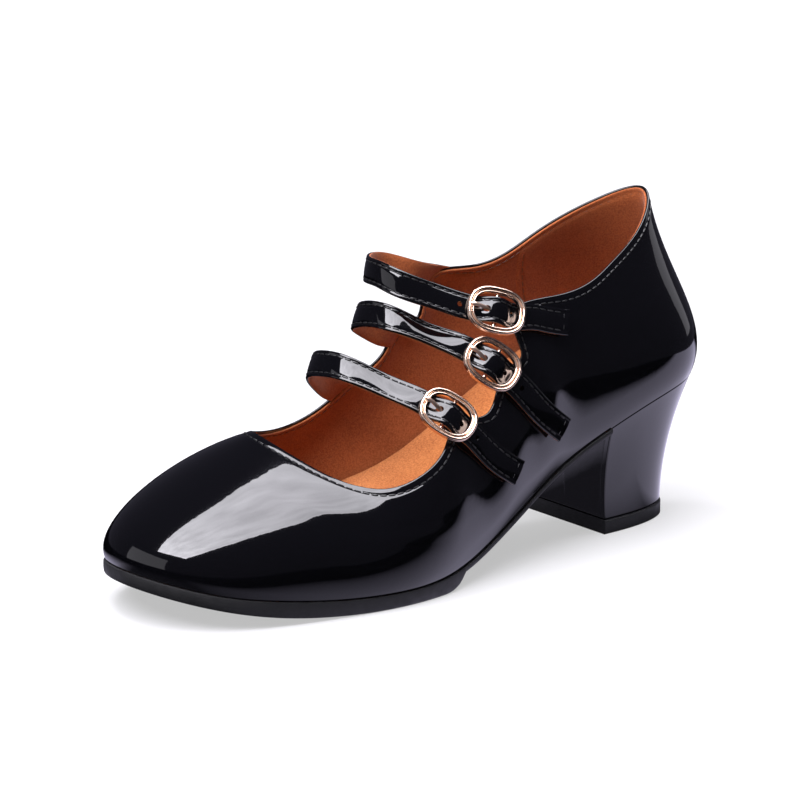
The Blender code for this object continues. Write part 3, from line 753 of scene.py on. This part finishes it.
def patent_look(name, ripple_depth):
    """Black patent: a clear coat with a slow ripple over a fine skin."""
    look, tree, shader = new_look(name, PATENT_COLOUR, roughness=0.12)
    ripples = ((SLOW_RIPPLE, ripple_depth), *FINE_RIPPLES)
    normal = bump(tree, [(noise(tree, scale, detail=1.0), depth) for scale, depth in ripples])
    feed(shader, {
        "Specular IOR Level": 0.05,
        "Coat Weight": 1.0,
        "Coat Roughness": 0.02,
        "Coat Tint": (*COAT_TINT, 1.0),
        "Normal": normal,
        "Coat Normal": normal,
    })
    return look


def suede_look(name, dark, light):
    """Tan microsuede: speckled nap with slow shading."""
    look, tree, shader = new_look(name, light, roughness=0.95)
    speckle = noise(tree, scale=1700.0, detail=3.0, rough=0.7)
    nap = spread(tree, speckle, *NAP_RANGE, 0.0, NAP_SHARE)
    shading = vary(tree, noise(tree, scale=60.0), 0.0, 1.0 - NAP_SHARE)
    feed(shader, {
        "Base Color": ramp(tree, combine(tree, "ADD", nap, shading), NAP_STOPS, (dark, light)),
        "Specular IOR Level": 0.1,
        "Sheen Weight": 0.12,
        "Sheen Roughness": 0.5,
        "Normal": bump(tree, [(speckle, 0.12)]),
    })
    return look


def metal_look(name, smooth, rough):
    """Rose gold plating with faint handling marks, between two roughnesses."""
    look, tree, shader = new_look(name, GOLD_COLOUR, smooth, metallic=1.0)
    marks = noise(tree, scale=420.0, detail=4.0, rough=0.6)
    feed(shader, {
        "Base Color": ramp(tree, marks, NOISE_RANGE, GOLD_SHADES),
        "Roughness": vary(tree, marks, smooth, rough),
        "Normal": bump(tree, [(noise(tree, scale=300.0), 0.003)]),
    })
    return look


def grained_look(name, colour, roughness, mottle, span, grain, depth):
    """A matte look: roughness that a mottle varies over a span, and a fine grain of some depth."""
    look, tree, shader = new_look(name, colour, roughness)
    feed(shader, {
        "Roughness": vary(tree, noise(tree, *mottle), *span),
        "Normal": bump(tree, [(noise(tree, *grain), depth)]),
    })
    return look


def rubber_look(name):
    """Matte black rubber with a fine pebble."""
    return grained_look(name, RUBBER_COLOUR, 0.55, mottle=(260.0, 3.0), span=(0.46, 0.66),
                        grain=(1500.0, 2.0), depth=0.05)


def thread_look(name, colour):
    """Waxed thread with a little fuzz."""
    return grained_look(name, colour, 0.38, mottle=(2200.0, 2.0), span=(0.28, 0.5),
                        grain=(3200.0, 2.0), depth=0.06)


def elastic_look(name):
    """Black woven elastic."""
    return grained_look(name, ELASTIC_COLOUR, 0.8, mottle=(1800.0, 3.0), span=(0.65, 0.95),
                        grain=(2600.0, 2.0), depth=0.1)


PATENT = patent_look("patent", ripple_depth=0.09)
STRAP_PATENT = patent_look("strap_patent", ripple_depth=0.06)
HEEL_PATENT = patent_look("heel_patent", ripple_depth=0.05)
SOLE_RUBBER = rubber_look("sole_rubber")
LIFT_RUBBER = rubber_look("lift_rubber")
INSOLE_SUEDE = suede_look("insole_suede", dark=(0.255, 0.073, 0.017), light=(0.475, 0.170, 0.050))
LINING_SUEDE = suede_look("lining_suede", dark=(0.190, 0.046, 0.0128), light=(0.300, 0.082, 0.0245))
ROSE_GOLD = metal_look("rose_gold", smooth=0.14, rough=0.22)
PRONG_GOLD = metal_look("prong_gold", smooth=0.34, rough=0.44)
THREAD = thread_look("thread", colour=(0.008, 0.008, 0.009))
LINING_THREAD = thread_look("lining_thread", colour=(0.13, 0.036, 0.011))
ELASTIC = elastic_look("elastic")

# The patent and its thread are kept out of the dull lights
MIRRORS = (PATENT, STRAP_PATENT, HEEL_PATENT, THREAD)
DULL = bpy.data.collections.new("dull_pieces")


# Upper

def creases(ribs, rises):
    """Soft troughs and ridges of the patent."""
    total = np.zeros(rises.shape)
    for row in CREASES:
        across = (ribs[:, None] - row.rib) / row.half_ribs
        along = (rises - row.rise - CREASE_SLANT * across) / row.half_rises
        total -= row.depth * np.exp(-across ** 2 - along ** 2)
    return total


def seam_groove(depths):
    """Dip of the patent along the stitch row under the topline."""
    return -GROOVE_DEPTH * np.exp(-((depths - STITCH_DEPTH) / GROOVE_HALF) ** 2)


def upper_rows(ribs, top_depths, low_rows):
    """Rises up each rib: even rows from the sole, then the given depths under the topline."""
    top = rises_below(ribs, top_depths)
    return np.hstack([top[:, :1] * np.linspace(0.0, 1.0, low_rows, endpoint=False), top])


def rolled_edge(ribs, rises, outside, half, angles):
    """Points over the rounded top of a skin, from its outer to its inner side."""
    out = upper_normals(ribs, rises[:, -1:])
    upward = upper_upward(ribs, rises[:, -1:])
    turns = np.radians(angles)[None, :, None]
    return outside[:, -1:] + (out * np.cos(turns) + upward * np.sin(turns) - out) * half


def upper_ribs():
    """Rib numbers of the upper's lines, once around."""
    return np.arange(RIB_COUNT * STEPS_PER_RIB) / STEPS_PER_RIB


def add_upper():
    """Patent skin with its turned topline edge."""
    ribs = upper_ribs()
    rises = upper_rows(ribs, TOP_DEPTHS, LOW_ROWS)
    relief = creases(ribs, rises)
    relief[:, LOW_ROWS:] += seam_groove(TOP_DEPTHS)
    outside = inside_upper(ribs, rises, -relief[:, :, None])
    edge = rolled_edge(ribs, rises, outside, PATENT_WALL / 2, TOPLINE_TURNS)
    inner_rises = upper_rows(ribs, INNER_DEPTHS, INNER_ROWS)
    inside = inside_upper(ribs, inner_rises, PATENT_WALL)
    sections = np.concatenate([outside, edge, inside[:, ::-1]], axis=1)
    piece("upper_patent", skin(sections, round_path=True), PATENT, ["upper"])


def add_lining():
    """Suede lining inside the patent, a little below its edge, with the heel pocket lapped on."""
    sharp = [seam + side for seam in POCKET_SEAMS for side in (-POCKET_EDGE, POCKET_EDGE)]
    ribs = np.sort(np.concatenate([upper_ribs(), sharp]))
    rises = upper_rows(ribs, LINING_DEPTHS, LINING_ROWS)
    outside = inside_upper(ribs, rises, PATENT_WALL + LINING_GAP)
    wall = np.full(rises.shape, UPPER_WALL)
    wall[:, LINING_ROWS:] += seam_groove(LINING_DEPTHS)
    pocket_rows = LINING_ROWS + np.count_nonzero(LINING_DEPTHS >= STITCH_DEPTH)
    outer, inner = POCKET_SEAMS
    wall[(ribs < outer) | (ribs > inner), :pocket_rows] += POCKET_STEP
    inside = inside_upper(ribs, rises, wall[:, :, None])
    half = (UPPER_WALL - PATENT_WALL - LINING_GAP) / 2
    edge = rolled_edge(ribs, rises, outside, half, LINING_TURNS)
    sections = np.concatenate([outside, edge, inside[:, ::-1]], axis=1)
    piece("upper_lining", skin(sections, round_path=True), LINING_SUEDE)


def add_topline_stitches():
    """Stitch rows under the topline, outside and on the lining."""
    ribs = np.append(upper_ribs(), RIB_COUNT)
    rises = rises_below(ribs, np.array([STITCH_DEPTH]))
    spots = upper_points(ribs, rises)[:, 0]
    outs = upper_normals(ribs, rises)[:, 0]
    outer = stitch_places(spots - outs * (GROOVE_DEPTH - THREAD_STAND), outs)
    piece("topline_stitches", stitches([outer]), THREAD)
    rows = [stitch_places(spots - outs * (UPPER_WALL - GROOVE_DEPTH + LINING_THREAD_STAND), -outs)]
    up = np.linspace(*POCKET_RUN, POCKET_POINTS)[None, :]
    for seam, way in zip(POCKET_SEAMS, (-1, 1)):
        line = np.array([seam + way * POCKET_STITCH])
        outs = upper_normals(line, up)[0]
        rows.append(stitch_places(inside_upper(line, up, UPPER_WALL + POCKET_STEP)[0], -outs))
    piece("lining_stitches", stitches(rows), LINING_THREAD)


# Sole, heel and foot bed

def add_outsole():
    """Shank and tread in one, from the heel breast to the toe, with stations closer at the tip."""
    breast = BREAST_TOP + FIT_GAP
    shares = np.sin(np.linspace(0.0, math.pi / 2, SOLE_STATIONS))
    sides = []
    for side in (1, -1):
        start = rib_at(breast, side)
        ribs = start + (TIP_RIB - start) * shares
        line = outline(ribs)
        low = tread_height(line[:, 0])
        rows = []
        for edge in SOLE_EDGES:
            rim = outline(ribs, edge.lip)
            rim[0, 0] = breast
            rim[:, 2] = low + (line[:, 2] - FIT_GAP - low) * edge.share
            rows.append(rim)
        sides.append(np.stack(rows, axis=1))
    sections = np.concatenate([sides[0], sides[1][:, ::-1]], axis=1)
    piece("sole", skin(sections), SOLE_RUBBER, ["outsole"])


def ease(share):
    """A smooth step from 0 to 1."""
    return 0.5 - 0.5 * np.cos(np.clip(share, 0.0, 1.0) * math.pi)


def bed_thickness(x, arch_rise):
    """Thickness of the foot bed's edge along the shoe, with a rise under the arch."""
    arch = ease((x - ARCH_START) / (ARCH_FULL - ARCH_START)) * ease((ARCH_END - x) / (ARCH_END - ARCH_FADE))
    return BED_THICKNESS + arch_rise * arch


def bed_edges(ribs, arch_rise):
    """Lines up the edge of the foot bed on one side, with a softly rounded upper corner."""
    clear = UPPER_WALL + 2 * FIT_GAP
    low = outline(ribs, -clear)
    low[:, 2] = seat_height(low[:, 0])
    rises = np.tile(np.linspace(0.0, BED_SEARCH, BED_STEPS), (len(ribs), 1))
    walls = inside_upper(ribs, rises, clear)
    thick = bed_thickness(low[:, 0], arch_rise)
    lines = [low]
    for drop, inset in BED_CORNER:
        heights = low[:, 2] + thick - drop
        line = np.array([[np.interp(height, wall[:, 2], wall[:, k]) for k in range(3)]
                         for height, wall in zip(heights, walls)])
        line[:, :2] -= outline_normal(ribs)[:, :2] * inset
        lines.append(line)
    return np.stack(lines, axis=1)


def add_insole():
    """Cushioned foot bed with a suede sock, from wall to wall."""
    ribs = np.linspace(0.0, TIP_RIB, SOLE_STATIONS)
    outer = bed_edges(ribs, 0.0)
    inner = bed_edges(RIB_COUNT - ribs, ARCH_RISE)
    sections = np.concatenate([outer, inner[:, ::-1]], axis=1)
    piece("sock", skin(sections), INSOLE_SUEDE, ["insole"])


def heel_foot(lip):
    """Half outline of the heel's foot: from the flat breast to the rounded back."""
    turns = np.linspace(0.0, math.pi / 2, HEEL_POINTS)
    power = 2.0 / HEEL_ROUNDNESS
    x = BREAST_BOTTOM - (BREAST_BOTTOM - HEEL_FOOT_BACK + lip) * np.sin(turns) ** power
    y = (HEEL_FOOT_HALF + lip) * np.abs(np.cos(turns)) ** power
    return x, y


def closed_heel_loop(outer, inner):
    """A heel outline once around: outer side, back, inner side and across the breast."""
    breast = np.linspace(inner[0], outer[0], BREAST_POINTS)[1:-1]
    return np.vstack([outer, inner[-2::-1], breast])


def heel_sides(share):
    """Outer and inner outline of the heel at a share of its height."""
    foot_x, foot_y = heel_foot(0.0)
    flare = share ** HEEL_FLARE
    foot_z = LIFT_HEIGHT + FIT_GAP
    sides = []
    for side, end in ((1, 0), (-1, RIB_COUNT)):
        seat = outline(np.linspace(rib_at(BREAST_TOP, side), end, HEEL_POINTS), -EDGE_INSET)
        x = foot_x + (seat[:, 0] - foot_x) * flare
        x[0] = BREAST_BOTTOM + (BREAST_TOP - BREAST_BOTTOM) * share
        y = side * foot_y + (seat[:, 1] - side * foot_y) * flare
        z = foot_z + (seat_height(x) - FIT_GAP - foot_z) * share
        sides.append(np.column_stack([x, y, z]))
    return sides


def round_edges(made, width):
    """Small rounding of the sharp edges."""
    change = made.modifiers.new("round", "BEVEL")
    change.width = width * MM
    change.segments = BEVEL_STEPS
    change.limit_method = "ANGLE"
    change.angle_limit = math.radians(EDGE_ANGLE)


def add_heel():
    """Covered block heel, with the cover's lap down the middle of the breast."""
    levels = [heel_sides(share) for share in np.linspace(0.0, 1.0, HEEL_LEVELS)]
    loops = [closed_heel_loop(*sides) for sides in levels]
    made = piece("heel_block", skin(loops), HEEL_PATENT, ["heel"])
    round_edges(made, HEEL_EDGE)
    rows = []
    for outer, inner in levels[1:-1]:
        middle = (outer[0] + inner[0]) / 2
        near = middle + (outer[0] - middle) * COVER_GAP
        lap = FORWARD * COVER_OVERLAP
        rows.append([middle, near, near + lap * COVER_TAPER, middle + lap])
    made = piece("heel_lap", skin(rows), HEEL_PATENT)
    round_edges(made, COVER_OVERLAP / 3)


def add_heel_lift():
    """Rubber top piece with a groove under the heel."""
    loops = []
    for edge in LIFT_EDGES:
        x, y = heel_foot(edge.lip)
        sides = [np.column_stack([x, sign * y, np.full(len(x), edge.height)]) for sign in (1.0, -1.0)]
        loops.append(closed_heel_loop(*sides))
    piece("top_piece", skin(loops), LIFT_RUBBER, ["heel_lift"])


# Straps and buckles

def upper_side(places, offset):
    """Points at an offset from the upper's outer surface, and the outward directions there."""
    ribs, rises = np.array(places).T
    outs = upper_normals(ribs, rises[:, None])[:, 0]
    return upper_points(ribs, rises[:, None])[:, 0] + outs * offset, outs


def strap_path(strap):
    """Centres and normals of a strap, and its distance along from the buckle's centre."""
    root, root_out = upper_side(strap.root, -ROOT_DEPTH)
    tail, tail_out = upper_side(strap.tail, TAIL_GAP + STRAP_THICKNESS / 2)
    tail[-1] += tail_out[-1] * TAIL_KICK
    over = np.array([turn[:3] for turn in strap.over])
    buckle = np.array(strap.buckle[:3])
    ahead = unit(unit(tail[0] - buckle) + unit(buckle - over[-1]))
    threaded = np.array([buckle + ahead * FRAME_HALF_LENGTH * side for side in (-1, 0, 1)])
    points = np.vstack([root, over, threaded, tail])
    tilts = np.radians([turn.tilt for turn in strap.over] + [strap.buckle.tilt] * len(threaded))[:, None]
    headings = np.gradient(points, axis=0)[len(root):-len(tail)]
    headings[-len(threaded):] = ahead
    level = unit(np.cross(headings, UP))
    normals = np.vstack([root_out, level * np.cos(tilts) + UP * np.sin(tilts), tail_out])
    middle = len(root) + len(over) + 1
    knots = lengths_along(points)
    before, after = (np.linspace(start, end, math.ceil((end - start) / STRAP_STEP) + 1)
                     for start, end in ((0.0, knots[middle]), (knots[middle], knots[-1])))
    at = np.concatenate([before, after[1:]])
    centres = spline(knots, points, at)
    ahead = unit(np.gradient(centres, axis=0))
    faces = square_to(spline(knots, normals, at), ahead)
    return centres, faces, at - knots[middle]


def weave(distance):
    """How far the strap lifts to pass over the buckle's centre bar."""
    over_bar = BAR_WIRE - BAR_DROP + FIT_GAP + STRAP_THICKNESS / 2
    turn = np.clip(np.abs(distance) / WEAVE_REACH, 0.0, 1.0) * math.pi / 2
    return (over_bar + FRAME_RISE) * np.cos(turn) ** 2


def buckle_axes(centres, faces, distance):
    """Middle of the buckle frame and its directions: along, across and out."""
    k = int(np.argmin(np.abs(distance)))
    ahead = unit(centres[k + 1] - centres[k - 1])
    out = square_to(faces[k], ahead)
    middle = centres[k] + out * FRAME_RISE
    return middle, ahead, np.cross(out, ahead), out


def local_points(axes, places):
    """Places given as along, across and out of a buckle, in the shoe's own axes."""
    middle, ahead, across, out = axes
    return np.array([middle + a * ahead + b * across + c * out for a, b, c in places])


def strap_drills(strap, path, faces, distance, extra=0.0):
    """Drills for the prong's hole and the spare holes."""
    drills = []
    spots = [(PRONG_HOLE, PRONG_HOLE_RADIUS)] + [(hole, HOLE_RADIUS) for hole in strap.holes]
    for place, radius in spots:
        k = int(np.argmin(np.abs(distance - place)))
        drills.append(((path[k] - faces[k] * HOLE_REACH, path[k] + faces[k] * HOLE_REACH), radius + extra))
    return drills


def add_strap(strap, centres, faces, distance):
    """Patent face over a suede back, with punched holes and stitched edges."""
    path = centres + faces * weave(distance)[:, None]
    from_root = np.clip((distance - distance[0]) / ROOT_REACH - 1.0, 0.0, 1.0)
    thickness = ROOT_THINNING + (1.0 - ROOT_THINNING) * from_root
    node = "strap_" + strap.name
    solid = skin(band(path, faces, STRAP_FACE, thickness))
    face = piece(node + "_face", solid, STRAP_PATENT, [node])
    punch(face, strap_drills(strap, path, faces, distance))
    solid = skin(band(path, faces, STRAP_BACK, thickness))
    back = piece(node + "_back", solid, LINING_SUEDE)
    punch(back, strap_drills(strap, path, faces, distance, BACK_HOLE_EXTRA))
    seams = np.array([(side, STRAP_SEAM_HEIGHT) for side in (-STRAP_SEAM, STRAP_SEAM)])
    lines = band(path, faces, seams, thickness)
    first = int(np.argmax(from_root > 0.0))
    last = int(np.argmin(np.abs(distance - distance[-1] + TAIL_SEAM)))
    rows = [stitch_places(lines[first:last, k], faces[first:last]) for k in (0, 1)]
    rows.append(stitch_places(lines[last], faces[[last, last]]))
    piece(node + "_stitches", stitches(rows), THREAD)


def add_buckle_frame(strap, axes):
    """Oval frame with two beads and a centre bar."""
    turns = np.arange(RING_POINTS) * 2.0 * math.pi / RING_POINTS
    power = 2.0 / FRAME_ROUNDNESS
    along = np.sign(np.cos(turns)) * np.abs(np.cos(turns)) ** power * FRAME_HALF_LENGTH
    across = np.sign(np.sin(turns)) * np.abs(np.sin(turns)) ** power * FRAME_HALF_WIDTH
    line = np.column_stack([along, across])
    slope = unit(np.roll(line, -1, axis=0) - np.roll(line, 1, axis=0))
    outward = np.column_stack([slope[:, 1], -slope[:, 0]])
    sections = []
    for spot, way in zip(line, outward):
        places = [(*(spot + way * reach), height) for reach, height in FRAME_SECTION]
        sections.append(local_points(axes, places))
    ends = [(0.0, side * FRAME_HALF_WIDTH, -BAR_DROP) for side in (-1, 1)]
    bar = tube(local_points(axes, ends), (BAR_WIRE, BAR_WIRE), WIRE_SIDES)
    node = "buckle_frame_" + strap.name
    piece(node + "_beads", joined([skin(sections, round_path=True), bar]), ROSE_GOLD, [node])


def add_buckle_prong(strap, axes):
    """Tapered prong from the centre bar through the strap to the front of the frame."""
    table = np.array([(row.along, 0.0, row.out, row.thickness) for row in PRONG])
    knots = lengths_along(table[:, :3])
    fine = spline(knots, table, np.linspace(0.0, knots[-1], PRONG_POINTS))
    node = "buckle_prong_" + strap.name
    solid = tube(local_points(axes, fine[:, :3]), fine[:, 3] * PRONG_WIRE, WIRE_SIDES)
    piece(node + "_wire", solid, PRONG_GOLD, [node])


def add_elastic(strap, axes):
    """Corded elastic from inside the quarter's finger to the centre bar."""
    inside = UPPER_WALL + ELASTIC_GAP + ELASTIC_THICKNESS / 2
    rib, rise = strap.finger
    ends, end_outs = upper_side([(rib, rise), (rib, 1.0)], -inside)
    middle, ahead, across, out = axes
    bar = middle - out * (BAR_DROP + BAR_WIRE + FIT_GAP + ELASTIC_THICKNESS / 2) - ahead * BAR_WIRE
    points = np.vstack([ends, bar])
    knots = lengths_along(points)
    at = np.linspace(0.0, knots[-1], ELASTIC_STATIONS)
    normals = spline(knots, np.vstack([end_outs, out]), at)
    places = np.linspace(-0.5, 0.5, ELASTIC_CORDS * POINTS_PER_CORD + 1)
    swell = CORD_VALLEY + CORD_SWELL * np.abs(np.sin(places * ELASTIC_CORDS * math.pi))
    top = np.column_stack([places * ELASTIC_WIDTH, swell * ELASTIC_THICKNESS])
    section = np.vstack([top, (top * (1, -1))[::-1]])
    node = "buckle_elastic_" + strap.name
    solid = skin(band(spline(knots, points, at), normals, section))
    piece(node + "_cords", solid, ELASTIC, [node])


def add_fastening(strap):
    """One strap with its buckle and elastic."""
    centres, faces, distance = strap_path(strap)
    axes = buckle_axes(centres, faces, distance)
    add_strap(strap, centres, faces, distance)
    add_buckle_frame(strap, axes)
    add_buckle_prong(strap, axes)
    add_elastic(strap, axes)


# Stage

def stage_axes():
    """Directions of the picture along the floor: to its right and away from the camera."""
    turn = math.radians(CAMERA_TURN)
    right = np.array([-math.cos(turn), math.sin(turn), 0.0])
    away = np.array([-math.sin(turn), -math.cos(turn), 0.0])
    return right, away


def aim_from(thing, place):
    """Put a camera or light at a place, looking at the middle of the shoe."""
    thing.location = place * MM + SHIFT
    thing.rotation_euler = Vector(AIM - place).to_track_quat("-Z", "Y").to_euler()


def add_camera():
    """The photograph's viewpoint."""
    rise = math.radians(CAMERA_RISE)
    away = stage_axes()[1]
    place = AIM + CAMERA_DISTANCE * (-away * math.cos(rise) + UP * math.sin(rise))
    lens = bpy.data.cameras.new("camera")
    lens.lens = CAMERA_LENS
    lens.sensor_width = CAMERA_SENSOR
    lens.clip_end = CAMERA_REACH * MM
    made = placed("camera", lens)
    aim_from(made, place)
    bpy.context.scene.camera = made


def add_light(lamp):
    """A soft box that faces the shoe."""
    right, away = stage_axes()
    place = AIM * (1, 1, 0) + right * lamp.right + away * lamp.away + UP * lamp.height
    light = bpy.data.lights.new(lamp.name, "AREA")
    light.shape = "RECTANGLE"
    light.size = lamp.width * MM
    light.size_y = lamp.length * MM
    light.energy = lamp.radiance * math.pi * light.size * light.size_y
    light.color = LIGHT_COLOUR
    made = placed(lamp.name, light)
    aim_from(made, place)
    return made


def uneven(light):
    """A soft box brighter at its toe end, with the blotches of a cloth front."""
    light.use_nodes = True
    tree = light.node_tree
    place = tree.nodes.new("ShaderNodeNewGeometry").outputs["Parametric"]
    split = new_node(tree, "ShaderNodeSeparateXYZ", {"Vector": place})
    ends = spread(tree, split.outputs["X"], 0.0, 1.0, *OVERHEAD_ENDS)
    blotches = noise(tree, BLOTCH_SCALE, place=place)
    cloth = vary(tree, blotches, 1.0 - OVERHEAD_BLOTCH, 1.0 + OVERHEAD_BLOTCH)
    feed(tree.nodes["Emission"], {"Strength": combine(tree, "MULTIPLY", ends, cloth)})


def add_overhead():
    """The large soft box, level above the shoe and parallel to it."""
    made = add_light(OVERHEAD)
    made.location = (AIM * (1, 1, 0) + OVERHEAD_PLACE + UP * OVERHEAD.height) * MM + SHIFT
    made.rotation_euler = (0.0, 0.0, 0.0)
    uneven(made.data)


def floor_look():
    """Plain matte white sweep with a painted glow of its own, brighter far away."""
    look, tree, shader = new_look("floor", FLOOR_COLOUR, roughness=0.8)
    away = new_node(tree, "ShaderNodeVectorMath", {0: object_place(tree)})
    away.operation = "LENGTH"
    glow = spread(tree, away.outputs["Value"], GLOW_START * MM, GLOW_END * MM, FLOOR_GLOW, FAR_GLOW)
    feed(shader, {
        "Roughness": vary(tree, noise(tree, scale=8.0), 0.76, 0.84),
        "Specular IOR Level": 0.0,
        "Emission Color": (1.0, 1.0, 1.0, 1.0),
        "Emission Strength": glow,
    })
    return look


def card_look(half):
    """Painted reflection of the floor: a glow in mirror images, wide behind the heel, with painted shade
    under the shoe.
    """
    look, tree, shader = new_look("floor_card", (0.0, 0.0, 0.0), roughness=1.0)
    split = new_node(tree, "ShaderNodeSeparateXYZ", {"Vector": object_place(tree)})
    along = split.outputs["X"]
    outward = split.outputs["Y"]
    margin = CARD_MARGIN * MM
    slanted = combine(tree, "MULTIPLY_ADD", along, CARD_SLANT, outward)
    from_middle = combine(tree, "ABSOLUTE", outward)
    front = spread(tree, along, half[0], half[0] + margin, 1.0, 0.0)
    inner = spread(tree, outward, -half[1] - margin, -half[1], 0.0, 1.0)
    outer = spread(tree, slanted, (CARD_SIDE - CARD_FADE) * MM, (CARD_SIDE + CARD_FADE) * MM, 1.0, 0.0)
    # Painted shade under the shoe, in the painted reflection
    under = spread(tree, from_middle, SHADED_HALF * MM, half[1], SHADED_GLOW, 1.0)
    behind = spread(tree, along, -half[0], -half[0] + SHADED_BACK * MM, 1.0, 0.0)
    glow = combine(tree, "MAXIMUM", under, behind)
    for fade in (front, inner, outer):
        glow = combine(tree, "MULTIPLY", glow, fade)
    feed(shader, {
        "Specular IOR Level": 0.0,
        "Emission Color": (*CARD_COLOUR, 1.0),
        "Emission Strength": glow,
    })
    return look


def add_plane(name, half, height, look):
    """A level rectangle around the shoe, in metres."""
    mesh = bpy.data.meshes.new(name)
    corners = [(x * half[0], y * half[1], height) for x, y in ((-1, -1), (1, -1), (1, 1), (-1, 1))]
    mesh.from_pydata(corners, [], [(0, 1, 2, 3)])
    mesh.materials.append(look)
    made = placed(name, mesh)
    DULL.objects.link(made)
    return made


def add_floor():
    """White floor, and a glowing card on it that shows only in mirror images as a painted reflection of the
    floor.
    """
    reach = FLOOR_REACH * MM
    add_plane("floor", (reach, reach), 0.0, floor_look()).visible_glossy = False
    half = np.array(cad_box[1][:2])
    card = add_plane("floor_card", half + CARD_BACK * MM, CARD_HEIGHT * MM, card_look(half))
    card.visible_camera = False
    card.visible_diffuse = False
    card.visible_shadow = False


def add_stage():
    """Floor, the soft boxes that the patent mirrors, and the lights for all the rest."""
    add_floor()
    add_overhead()
    for lamp in MIRRORED_LAMPS:
        add_light(lamp)
    for lamp in DULL_LAMPS:
        add_light(lamp).light_linking.receiver_collection = DULL
    world = bpy.data.worlds.new("studio")
    world.use_nodes = True
    feed(world.node_tree.nodes["Background"], {"Color": (*WORLD_COLOUR, 1.0)})
    bpy.context.scene.world = world
    bpy.context.scene.view_settings.view_transform = "Standard"


add_camera()
add_stage()
add_upper()
add_lining()
add_topline_stitches()
add_outsole()
add_insole()
add_heel()
add_heel_lift()
for one_strap in STRAPS:
    add_fastening(one_strap)
